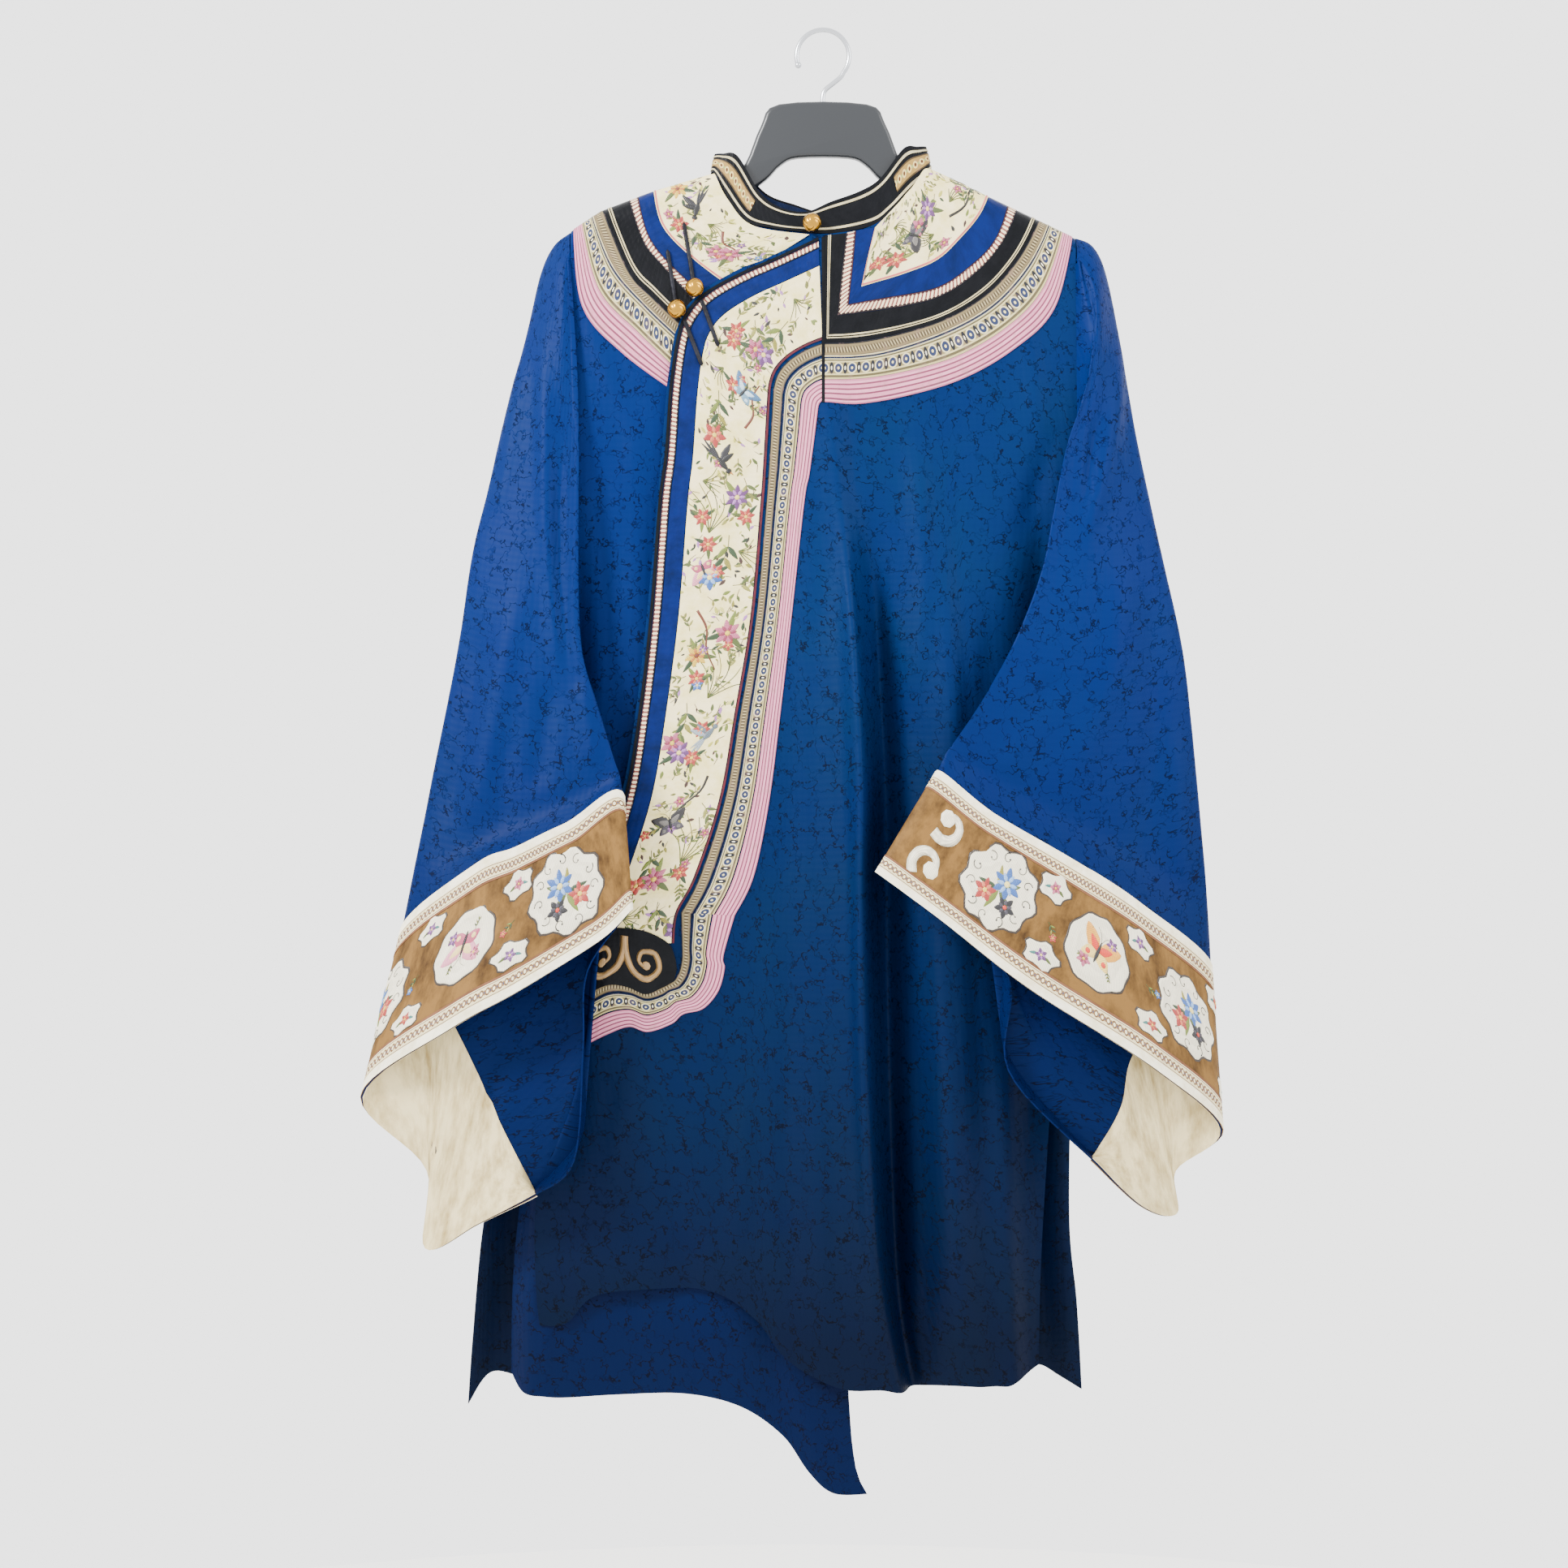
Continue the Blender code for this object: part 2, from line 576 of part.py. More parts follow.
# The black head lies over the ends of the strips: its upper and lower edge from right to left
HEAD_TOP = [(-117, -741), (-121, -730), (-130, -723), (-142, -718), (-155, -716), (-168, -716), (-180, -722),
            (-191, -730)]
HEAD_LOW = [(-116, -748), (-119, -758), (-129, -764), (-141, -768.5), (-155, -763), (-168, -761), (-180, -765),
            (-191, -774)]
HEAD_ROWS = 20
HEAD_LIFT = RIBBON_LIFT + RIBBON + 0.6
STRIP_GAP = 0.3


class Skin:
    """The outer face of a finished panel, so that what lies on it can be made from it."""

    def __init__(self, name, side):
        mesh = bpy.data.objects[name].data
        points = [v.co.copy() for v in mesh.vertices]
        self.tree = BVHTree.FromPolygons(points, [tuple(p.vertices) for p in mesh.polygons])
        self.side = side

    def point(self, x, z, lift):
        """The point lift off the cloth's outer face at x and z."""
        angle = shoulder_angle(x, z)
        if angle < math.pi / 2 - 0.02:
            z_low = ridge_height(x) - SHOULDER_ROUND * (1 - math.cos(angle))
            y = self.side * (SHOULDER_ROUND * math.sin(angle) + CLOTH / 2 * math.sin(angle))
            return (x, y + self.side * lift * math.sin(angle),
                    z_low + (CLOTH / 2 + lift) * math.cos(angle))
        start = Vector((x, self.side * 400, z)) * MM
        hit = self.tree.ray_cast(start, Vector((0, -self.side, 0)))[0]
        if hit is None:
            hit = self.tree.find_nearest(Vector((x, self.side * 25, z)) * MM)[0]
        return x, hit.y / MM + self.side * lift, z


def crowd_end(count, last, power=YOKE_CROWD):
    """Positions from 0 to last that crowd towards last."""
    return [last * (1 - (1 - k / count) ** power) for k in range(count + 1)]


def crowd_start(count, last):
    return [last - place for place in reversed(crowd_end(count, last))]


def crowd_both(count, last):
    half = crowd_start(count // 2, last / 2)
    return half + [last - place for place in reversed(half[:-1])]


def edge_point(points, place, corner):
    """The point at index place: on straight runs as far as the corner, then on a smooth curve."""
    if place < corner:
        return straight(points, place)
    return along(points[corner:], place - corner)


def strip_between(name, skin, inner, outer, material, places, columns, lift=RIBBON_LIFT, trim=STRIP_GAP, corner=0):
    """A ribbon between two edges with the same count of points, with a row at each of the places."""
    grid = []
    for place in places:
        a = edge_point(inner, place, corner)
        b = edge_point(outer, place, corner)
        low = min(trim / max(math.dist(a, b), 0.01), 0.3)
        grid.append([skin.point(*under_ridge(*mix(a, b, low + (1 - 2 * low) * k / columns)), lift + RIBBON / 2)
                     for k in range(columns + 1)])
    make_wall(name, skin_mesh(grid), material, RIBBON)


def even(count, last):
    return [last * k / count for k in range(count + 1)]


def back_ring(index):
    """The outer edge of a back yoke ribbon as points along half an ellipse."""
    left, right = YOKE_BACK_ENDS[index]
    low = YOKE_BACK_LOW[index]
    ring = []
    for k in range(len(BACK_NECK)):
        turn = math.pi * k / (len(BACK_NECK) - 1)
        share = (1 - math.cos(turn)) / 2
        x = left + (right - left) * share
        top = ridge_height(left) + (ridge_height(right) - ridge_height(left)) * share
        ring.append((x, top + (low - top) * math.sin(turn)))
    return ring


def make_yokes():
    overlap = Skin("front_overlap", -1)
    under = Skin("front_under", -1)
    back = Skin("back", 1)
    corner_rows = [0, 1]
    for i, (name, material) in enumerate(zip(YOKE_NAMES, YOKE_MATERIALS)):
        columns = 4 if name == "cream" else 2 if name in ("black", "figured") else 1
        outer = YOKE_RIGHT[i]
        inner = YOKE_RIGHT[i - 1] if i else YOKE_RIGHT_NECK
        corner = YOKE_CORNER if len(outer) == len(YOKE_RIGHT_NECK) else 0
        if len(inner) > len(outer):
            inner = [(outer[0][0], inner[YOKE_CORNER][1])] + inner[YOKE_CORNER + 1:]
        arc = crowd_end(YOKE_ROWS, len(outer) - 1 - corner)
        rows = (corner_rows if corner else []) + [corner + place for place in arc]
        strip_between("yoke_right_" + name, overlap, inner, outer, material, rows, columns, corner=corner)
        inner = YOKE_LEFT[i - 1] if i else YOKE_LEFT_NECK
        rows = crowd_start(YOKE_ROWS, len(YOKE_LEFT_NECK) - 1)
        strip_between("yoke_left_" + name, under, inner, YOKE_LEFT[i], material, rows, columns)
        inner = back_ring(i - 1) if i else BACK_NECK
        rows = crowd_both(YOKE_BACK_ROWS, len(BACK_NECK) - 1)
        strip_between("yoke_back_" + name, back, inner, back_ring(i), material, rows, columns)


def closing_line(place):
    """The closing's guide line at place: 0 the edge, 1 the dark line, 2 the pink ribbon's inner edge."""
    if place > 1:
        return [mix(line, pink, place - 1) for _, line, pink in CLOSING]
    pairs = [(edge, line) for edge, line, _ in CLOSING] + [CLOSING_TAIL]
    spots = []
    for edge, line in pairs:
        inset = CLOSING_INSET / math.dist(edge, line)
        spots.append(mix(edge, line, inset + (1 - inset) * place))
    return spots


def make_closing():
    overlap = Skin("front_overlap", -1)
    for name, material, low, high in CLOSING_STRIPS:
        columns = 4 if name == "embroidered" else 1
        inner, outer = closing_line(low), closing_line(high)
        strip_between("closing_" + name, overlap, inner, outer, material, even(CLOSING_ROWS, len(inner) - 1),
                      columns, trim=STRIP_GAP / 2)
    rows = even(HEAD_ROWS, len(HEAD_EDGE) - 1)
    for name, material, low, high in HEAD_STRIPS:
        inner = [mix(a, b, low) for a, b in zip(HEAD_EDGE, HEAD_SCALLOPS)]
        outer = [mix(a, b, high) for a, b in zip(HEAD_EDGE, HEAD_SCALLOPS)]
        strip_between("head_" + name, overlap, inner, outer, material, rows, 1, trim=STRIP_GAP / 2)
    strip_between("closing_head", overlap, HEAD_TOP, HEAD_LOW, "black_satin", even(12, len(HEAD_TOP) - 1), 3,
                  HEAD_LIFT)


# Collar

COLLAR_BASE = [(-89, 0, -114), (-86.5, -8, -115), (-78, -13, -132.5), (-62, -17, -154), (-42, -19, -160),
               (-18, -20, -163), (8, -20, -164.5), (40, -19, -158), (54, -17, -147.5), (70, -13, -131),
               (84.5, -8, -116), (86, 0, -110.5), (84.5, 9, -110.5), (75, 14, -129), (60, 18, -146), (34, 20, -160),
               (0, 21, -165), (-32, 20, -161), (-62, 18, -149), (-78, 14, -132), (-86.5, 9, -115)]
COLLAR_TOP = [(-86, 0, -98), (-80, -6, -98.5), (-68, -9, -101), (-51, -14, -130), (-35, -17, -143),
              (-14, -18, -147), (6, -18, -139), (30, -17, -130), (46, -14, -119), (64, -9, -95),
              (75, -6, -93), (82, 0, -92), (76, 7, -94), (66, 10, -98), (44, 14, -124), (24, 17, -139),
              (0, 18, -141), (-22, 17, -135), (-46, 14, -126), (-68, 9, -103), (-80, 7, -99.5)]


def make_collar():
    base = [(x, y, z + COLLAR_RISE) for x, y, z in COLLAR_BASE]
    rows = []
    for share in (0.0, 0.5, 1.0):
        keys = [mix(a, b, share) for a, b in zip(base, COLLAR_TOP)]
        keys.append(keys[0])
        rows.append(ring_points(keys))
    make_wall("collar", skin_mesh(rows, 0), "black_satin", COLLAR_WALL)


# Fastenings

BUTTONS = {"neck": (-9, -157), "upper": (-102, -209), "lower": (-116, -226)}
BUTTON_FLAT = 0.9
# How far forward the neck button's back sits: just off the collar's front
NECK_BUTTON_Y = -21.55
FROG_LIFT = RIBBON_LIFT + RIBBON + 0.4
FROGS = {
    # name: panel it lies on, start, end
    "upper_button_side": ("front_under", (-111, -155), (-102.5, -207)),
    "lower_button_side": ("front_under", (-124, -177), (-116.5, -224)),
    "upper_loop_side": ("front_overlap", (-97, -217.5), (-83, -256)),
    "lower_loop_side": ("front_overlap", (-110.5, -233.5), (-96, -271)),
}
BUTTON_GAP = 0.1


def make_buttons():
    under = Skin("front_under", -1)
    for name, (x, z) in BUTTONS.items():
        seat = NECK_BUTTON_Y if name == "neck" else under.point(x, z, FROG_LIFT + FROG_THICK + BUTTON_GAP)[1]
        y = seat - BUTTON_RADIUS * BUTTON_FLAT
        bpy.ops.mesh.primitive_uv_sphere_add(segments=16, ring_count=8, radius=BUTTON_RADIUS * MM)
        ball = bpy.context.object
        ball.name = "button_" + name
        ball.data.transform(Matrix.Scale(BUTTON_FLAT, 4, (0, 1, 0)))
        ball.location = Vector((x, y, z)) * MM
        ball.data.materials.append(bpy.data.materials["gilt_brass"])
        ball.data.shade_smooth()


def make_frogs():
    lift = FROG_LIFT + FROG_THICK / 2
    for name, (panel, start, end) in FROGS.items():
        skin = Skin(panel, -1)
        way = Vector(end) - Vector(start)
        across = Vector((-way.y, way.x)).normalized() * FROG_WIDE / 2
        grid = []
        for k in range(7):
            middle = Vector(start) + way * k / 6
            left, right = middle - across, middle + across
            grid.append([skin.point(*left, lift), skin.point(*right, lift)])
        make_wall("frog_" + name, skin_mesh(grid), "black_satin", FROG_THICK)


# Hanger

HANGER_OUTLINE = [
    (-35, -58), (35, -58), (50, -74), (62, -103), (76, -117.5), (92, -122), (134, -138.5), (190, -164),
    (203, -172), (205, -180), (196, -188), (134, -163), (90, -142), (62, -129), (46, -119), (34, -107),
    (20, -101), (-20, -101), (-34, -107), (-46, -119), (-64, -130), (-92, -143), (-140, -160), (-194, -186),
    (-204, -180), (-203, -168), (-178, -149.5), (-139, -135), (-92, -122.5), (-76, -118), (-62, -105), (-50, -76),
]
# The hook's centre line from the hanger's top to the ring, then the ring by its angles in degrees
HOOK_STEM = [(0, -57.6), (0, -51), (2, -46), (8, -41), (14, -36)]
HOOK_ARC = (-38, 200, 22)


def make_hanger():
    mesh = bpy.data.meshes.new("hanger")
    net = bmesh.new()
    front = [net.verts.new(Vector((x, -HANGER_THICK / 2, z)) * MM) for x, z in HANGER_OUTLINE]
    face = net.faces.new(front)
    pushed = bmesh.ops.extrude_face_region(net, geom=[face])
    moved = [g for g in pushed["geom"] if isinstance(g, bmesh.types.BMVert)]
    bmesh.ops.translate(net, verts=moved, vec=Vector((0, HANGER_THICK * MM, 0)))
    bmesh.ops.recalc_face_normals(net, faces=net.faces)
    rims = [e for e in net.edges if abs(e.verts[0].co.y - e.verts[1].co.y) < 0.0001]
    bmesh.ops.bevel(net, geom=rims, offset=HANGER_ROUND * MM, segments=2, profile=0.5, affect="EDGES")
    net.to_mesh(mesh)
    net.free()
    mesh.shade_smooth()
    mesh.set_sharp_from_angle(angle=math.radians(50))
    new_object("hanger", mesh, "grey_plastic")


def make_hook():
    middle = -HOOK_RADIUS + ROD_RADIUS
    first, last, steps = HOOK_ARC
    ring = []
    for k in range(steps + 1):
        turn = math.radians(first + (last - first) * k / steps)
        ring.append((HOOK_RADIUS * math.cos(turn), middle + HOOK_RADIUS * math.sin(turn)))
    route = HOOK_STEM + ring
    curve = bpy.data.curves.new("hook", "CURVE")
    curve.dimensions = "3D"
    curve.bevel_depth = ROD_RADIUS * MM
    curve.bevel_resolution = 1
    curve.use_fill_caps = True
    line = curve.splines.new("POLY")
    line.points.add(len(route) - 1)
    for place, (x, z) in zip(line.points, route):
        place.co = (x * MM, 0, z * MM, 1)
    thing = bpy.data.objects.new("hook", curve)
    bpy.context.scene.collection.objects.link(thing)
    curve.materials.append(bpy.data.materials["steel"])


def make_materials():
    for name, (red, green, blue, rough) in COLOURS.items():
        material = bpy.data.materials.new(name)
        material.use_nodes = True
        shader = material.node_tree.nodes["Principled BSDF"]
        shader.inputs["Base Color"].default_value = (red, green, blue, 1)
        shader.inputs["Roughness"].default_value = rough
        shader.inputs["Metallic"].default_value = 1.0 if name in ("gilt_brass", "steel") else 0.0


def main():
    for thing in list(bpy.data.objects):
        bpy.data.objects.remove(thing)
    make_materials()
    make_panel("front_overlap", overlap_point, 24, 22, "silk_damask")
    make_panel("front_under", under_point, 13, 20, "silk_damask")
    make_panel("back", back_point, 18, 20, "silk_damask")
    for side in ("left", "right"):
        make_sleeve(side)
    make_collar()
    make_yokes()
    make_closing()
    make_frogs()
    make_buttons()
    make_hanger()
    make_hook()


main()
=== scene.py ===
import bpy
import bmesh
import math
import random
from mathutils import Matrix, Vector, noise
from mathutils.bvhtree import BVHTree


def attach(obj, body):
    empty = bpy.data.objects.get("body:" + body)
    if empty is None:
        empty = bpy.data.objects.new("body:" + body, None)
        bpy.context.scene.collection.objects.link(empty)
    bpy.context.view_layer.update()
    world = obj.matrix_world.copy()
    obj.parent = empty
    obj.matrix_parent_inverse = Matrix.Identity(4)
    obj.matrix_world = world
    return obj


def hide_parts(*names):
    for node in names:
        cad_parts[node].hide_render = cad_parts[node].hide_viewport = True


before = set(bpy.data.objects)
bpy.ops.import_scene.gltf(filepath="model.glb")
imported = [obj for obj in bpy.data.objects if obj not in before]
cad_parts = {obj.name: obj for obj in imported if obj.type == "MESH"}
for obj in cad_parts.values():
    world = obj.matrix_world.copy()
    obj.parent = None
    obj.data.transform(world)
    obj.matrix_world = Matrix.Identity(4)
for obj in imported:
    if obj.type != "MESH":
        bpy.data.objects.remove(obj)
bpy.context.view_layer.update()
mm = 0.001
bpy.ops.object.select_all(action="DESELECT")

# Camera: straight on, as the robe was photographed
photo = {"side": 1.2558, "distance": 2.6, "centre": (-0.0312, -0.6019), "sensor": 36.0}
cameraData = bpy.data.cameras.new("camera")
cameraData.sensor_width = photo["sensor"]
cameraData.lens = photo["sensor"] * photo["distance"] / photo["side"]
camera = bpy.data.objects.new("camera", cameraData)
camera.location = (photo["centre"][0], -photo["distance"], photo["centre"][1])
camera.rotation_euler = (math.radians(90), 0, 0)
bpy.context.scene.collection.objects.link(camera)
bpy.context.scene.camera = camera


# Small sums

def mixed(a, b, t):
    return tuple(p + (q - p) * t for p, q in zip(a, b))


def ease(t):
    t = min(max(t, 0.0), 1.0)
    return t * t * (3 - 2 * t)


def linear(code):
    # sRGB hex to Blender's linear colour
    parts = [int(code[k:k + 2], 16) / 255 for k in (1, 3, 5)]
    return tuple(c / 12.92 if c <= 0.04045 else ((c + 0.055) / 1.055) ** 2.4 for c in parts) + (1.0,)


def bell(d, width):
    return math.exp(-(d / width) ** 2)


def curveAt(points, t):
    # a smooth curve through the points, t counts them
    last = len(points) - 1
    i = max(min(int(t), last - 1), 0)
    f = t - i
    p1, p2 = points[i], points[i + 1]
    p0 = points[i - 1] if i else p1
    p3 = points[i + 2] if i + 2 <= last else p2
    return tuple(0.5 * (2 * b + (c - a) * f + (2 * a - 5 * b + 4 * c - d) * f * f
                        + (3 * b - a - 3 * c + d) * f ** 3)
                 for a, b, c, d in zip(p0, p1, p2, p3))


def straightAt(points, t):
    i = min(int(t), len(points) - 2)
    return mixed(points[i], points[i + 1], t - i)


def shareAt(points, share):
    # the point at this share of a line's length
    steps = [math.dist(a, b) for a, b in zip(points, points[1:])]
    goal = share * sum(steps)
    for i, step in enumerate(steps):
        if goal <= step or i == len(steps) - 1:
            return mixed(points[i], points[i + 1], goal / step if step else 0.0)
        goal -= step


def smoothLine(points, steps=6):
    return [curveAt(points, k / steps) for k in range((len(points) - 1) * steps + 1)]


def lineDistance(x, z, line):
    # distance to a crease's line, and how far along it
    best, spot = 1e9, 0.0
    total = len(line) - 1
    for i, ((xa, za), (xb, zb)) in enumerate(zip(line, line[1:])):
        dx, dz = xb - xa, zb - za
        t = min(max(((x - xa) * dx + (z - za) * dz) / (dx * dx + dz * dz + 1e-9), 0), 1)
        d = math.hypot(x - xa - t * dx, z - za - t * dz)
        if d < best:
            best, spot = d, (i + t) / total
    return best, spot


# How the cloth hangs, in mm: over the hanger, then slowly forward

hang = {
    "round": 14.0, "chestDrop": 10.0, "backDrop": 8.0, "chestReach": 160.0, "ridgeGap": 0.006,
    "overlapStep": 4.5, "underRecess": 8.0, "armholeX": 201.2, "sleeveX": 201.5, "underarmX": 202.2,
    "underarmZ": -514.0, "sideSeam": 1.1, "sideCurl": 0.16,
    "ridge": [(-230, -181), (-204, -162), (-178, -145), (-139, -130), (-87, -114), (0, -84), (85, -110),
              (134, -134), (214, -172), (230, -180)],
}


def ridgeHeight(x):
    ridge = hang["ridge"]
    for (xa, za), (xb, zb) in zip(ridge, ridge[1:]):
        if x <= xb:
            return za + (zb - za) * (x - xa) / (xb - xa)
    return ridge[-1][1]


def underRidge(x, z):
    return x, min(z, ridgeHeight(x) - hang["ridgeGap"])


def shoulderTurn(x, z):
    return math.acos(min(max(1 - (ridgeHeight(x) - z) / hang["round"], 0.0), 1.0))


def frontDepth(x, z):
    drop = ridgeHeight(x) - z
    return -(hang["round"] * math.sin(shoulderTurn(x, z)) + hang["chestDrop"] * ease(drop / hang["chestReach"]))


def backDepth(x, z):
    drop = ridgeHeight(x) - z
    return hang["round"] * math.sin(shoulderTurn(x, z)) + hang["backDrop"] * ease(drop / hang["chestReach"])


def sidePull(z):
    return ease((-380 - z) / 134) * (1 - 0.35 * ease((-760 - z) / 250))


# Panels: each line has its top point, its hem point, and how far the cloth stands out at the four heights

creaseHeights = (0.0, 0.2, 0.5, 1.0)
ax = hang["armholeX"]
overlapCut = {
    "lines": [
        (-110, -225, -225, -1032, 0, 0, -2, -7), (-95, -210, -204, -1030, 0, 0, -1, -6),
        (-68, -194, -183, -1009, 0, 0, 0, -4), (-50, -187, -145, -1003, 0, 0, 0, -3),
        (-37, -181, -90, -1004, 0, 0, -1, -3), (-26, -176, -54, -1026, 0, 0, -2, -1),
        (-20, -173, -28, -1058, 0, 1, -1, 3), (-15, -170, 12, -1079, 0, 2, 5, 8),
        (-11, -168, 45, -1080, 0, 4, 14, 14), (-7, -166, 61, -1082, 0, 5, 18, 18),
        (0, -165.5, 70, -1081, 0, 3, 2, -8), (12, -164.5, 82, -1080, 0, -1, -8, -6),
        (34, -160.5, 98, -1079, 0, 0, -2, 1), (54, -148, 112, -1079, 0, 1, 4, 5),
        (71, -132, 125, -1080, 0, 0, 6, 3), (86, -109.5, 137, -1080, 0, -1, 1, -1),
        (110, -121, 147, -1080, 0, 0, -2, 0), (134, -133, 155, -1076, 0, 0, 0, 3),
        (168, -149, 164, -1070, 0, 0, -2, 0), (ax, -165, 172, -1065, 0, 0, 0, 0)],
    "left": [(-110, -225), (-118, -246), (-124, -286), (-130, -360), (-140, -469), (-149, -547), (-160, -610),
             (-180, -675), (-201, -746), (-213, -817), (-223, -880), (-229, -947), (-228, -1005), (-225, -1032)],
    "right": [(ax, -165), (ax, -340), (ax, -514), (197, -624), (189, -754), (180, -884), (174, -981),
              (172, -1065)],
    "columns": 150, "rows": 150,
}
underCut = {
    "lines": [
        (-ax, -159, -249, -1071, 0, 0, 0, 0), (-178, -144, -239, -1086, 0, 0, -1, 1),
        (-152, -134, -222, -1089, 0, 0, 0, 3), (-125, -124, -203, -1090, 0, 0, 2, 1),
        (-105, -118, -160, -1088, 0, 0, 0, -2), (-88, -113, -109, -1087, 0, 0, 0, 1),
        (-78, -136, -66, -1097, 0, 0, 0, 2), (-62, -154.5, -32, -1121, 0, 0, 0, -1),
        (-42, -160.5, -11, -1150, 0, 0, 0, 0), (-18, -163.5, 8, -1166, 0, 0, 0, 2),
        (-2, -166, 35, -1167, 0, 0, 0, 0)],
    "left": [(-ax, -159), (-ax, -340), (-ax, -514), (-210, -624), (-222, -753), (-236, -883), (-247, -987),
             (-249, -1071)],
    "right": [(-2, -166), (4, -400), (10, -624), (20, -1085), (35, -1167)],
    "columns": 80, "rows": 130,
}
backCut = {
    "lines": [
        (-ax, -159, -285, -1100, 0, 0, 0, 0), (-178, -144, -268, -1076, 0, 0, 3, 4),
        (-139, -129, -240, -1080, 0, 0, -2, -3), (-88, -113, -200, -1084, 0, 1, 3, 5),
        (-78, -136, -150, -1086, 0, 0, -2, -3), (-62, -152, -110, -1087, 0, 0, 4, 6),
        (-32, -162, -60, -1087, 0, 1, 0, -3), (0, -166, -10, -1086, 0, 0, 5, 7),
        (34, -161, 40, -1086, 0, -1, -2, -2), (60, -149, 85, -1085, 0, 1, 4, 5),
        (75, -133, 120, -1083, 0, 0, 0, -3), (86, -109.5, 148, -1080, 0, -1, 3, 4),
        (134, -133, 172, -1070, 0, 0, -2, -2), (168, -149, 190, -1078, 0, 0, 2, 3),
        (ax, -165, 208, -1088, 0, 0, 0, 0)],
    "left": [(-ax, -159), (-ax, -340), (-ax, -514), (-212, -640), (-231, -755), (-258, -886), (-273, -958),
             (-281, -1043), (-285, -1100)],
    "right": [(ax, -165), (ax, -340), (ax, -514), (201, -624), (199, -821), (198, -952), (204, -1017),
              (208, -1088)],
    "columns": 110, "rows": 130,
}
for cut in (overlapCut, underCut, backCut):
    cut["leftLine"] = cut["left"][:3] + smoothLine(cut["left"][2:])[1:]
    cut["rightLine"] = cut["right"][:3] + smoothLine(cut["right"][2:])[1:]


def panelSpot(cut, u, v):
    row = curveAt(cut["lines"], u * (len(cut["lines"]) - 1))
    crests = row[4:8]
    crest = crests[-1]
    for i, (low, high) in enumerate(zip(creaseHeights, creaseHeights[1:])):
        if v <= high:
            crest = crests[i] + (crests[i + 1] - crests[i]) * ease((v - low) / (high - low))
            break
    place = mixed(row[0:2], row[2:4], v)
    for side, line, share in ((cut["left"], cut["leftLine"], 1 - u), (cut["right"], cut["rightLine"], u)):
        bow = shareAt(line, v)
        chord = mixed(side[0], side[-1], v)
        place = tuple(p + share * (b - c) for p, b, c in zip(place, bow, chord))
    return (*underRidge(*place), crest)


def overlapPoint(u, v):
    x, z, crest = panelSpot(overlapCut, u, v)
    step = hang["overlapStep"] * ease((62 - x) / 34)
    y = frontDepth(x, z) - step * ease((ridgeHeight(x) - z) / 40) - crest
    curl = ease(1 - (1 - u) / hang["sideCurl"]) * sidePull(z)
    return x, y * (1 - curl) - hang["sideSeam"] * curl, z


def underPoint(u, v):
    x, z, crest = panelSpot(underCut, u, v)
    y = frontDepth(x, z) - crest + hang["underRecess"] * ease((-300 - z) / 150)
    curl = ease(1 - u / hang["sideCurl"]) * sidePull(z)
    return x, y * (1 - curl) - hang["sideSeam"] * curl, z


def backPoint(u, v):
    x, z, crest = panelSpot(backCut, u, v)
    y = backDepth(x, z) + crest
    curl = (ease(1 - u / hang["sideCurl"]) + ease(1 - (1 - u) / hang["sideCurl"])) * sidePull(z)
    return x, y * (1 - curl) + hang["sideSeam"] * curl, z


# Creases pressed into the cloth: the line in x and z, how far it stands out in mm, its width, 1 for a sharp one

frontCreases = [
    ([(100, -380), (108, -640), (104, -900), (118, -1070)], 7.0, 24, 0), ([(176, -340), (180, -560), (170, -760)], -6.0, 16, 0),
    ([(-6, -460), (0, -700), (8, -1070)], 5.0, 18, 0), ([(-120, -900), (-104, -1060)], -4.0, 18, 0),
    ([(38, -380), (47, -600), (52, -830), (62, -1074)], -17.0, 11.0, 0),
    ([(20, -380), (28, -600), (32, -830), (42, -1074)], 8.0, 9.0, 0),
    ([(-8, -420), (-4, -620), (6, -900), (14, -1070)], -3.0, 10, 0), ([(150, -600), (168, -880)], -2.4, 9, 0),
    ([(84, -640), (98, -860), (112, -1070)], 3.0, 10, 0), ([(68, -700), (78, -900), (84, -1070)], -2.6, 8, 0),
    ([(74, -330), (80, -437), (70, -545)], 3.0, 9, 0), ([(62, -540), (72, -700), (80, -830)], 1.6, 8, 0),
    ([(190, -250), (188, -315), (150, -420)], -2.6, 9, 0), ([(150, -200), (166, -262), (170, -330)], 1.8, 8, 0),
    ([(-60, -322), (40, -330), (150, -322)], -0.7, 3, 1), ([(-70, -560), (40, -566), (110, -560)], -0.6, 3, 1),
    ([(-80, -800), (60, -806), (170, -800)], -0.6, 3, 1), ([(118, -1072), (160, -995)], 2.2, 6, 1),
    ([(165, -900), (168, -1060)], 2.0, 4, 1), ([(176, -930), (176, -1060)], -1.6, 4, 1),
    ([(-20, -330), (-6, -520), (12, -760)], 1.4, 12, 0), ([(-110, -800), (-126, -960)], -1.6, 10, 0),
    ([(-150, -820), (-172, -960)], 1.6, 9, 0), ([(-60, -840), (-70, -985)], 1.6, 9, 0),
    ([(-24, -700), (-30, -900), (-22, -1020)], -1.6, 9, 0), ([(-170, -900), (-120, -955)], -1.0, 6, 0),
    ([(104, -380), (112, -560), (96, -640)], -1.8, 8, 0), ([(120, -640), (140, -860), (146, -1040)], 1.8, 9, 0),
    ([(20, -330), (30, -470)], -1.4, 7, 0),
]
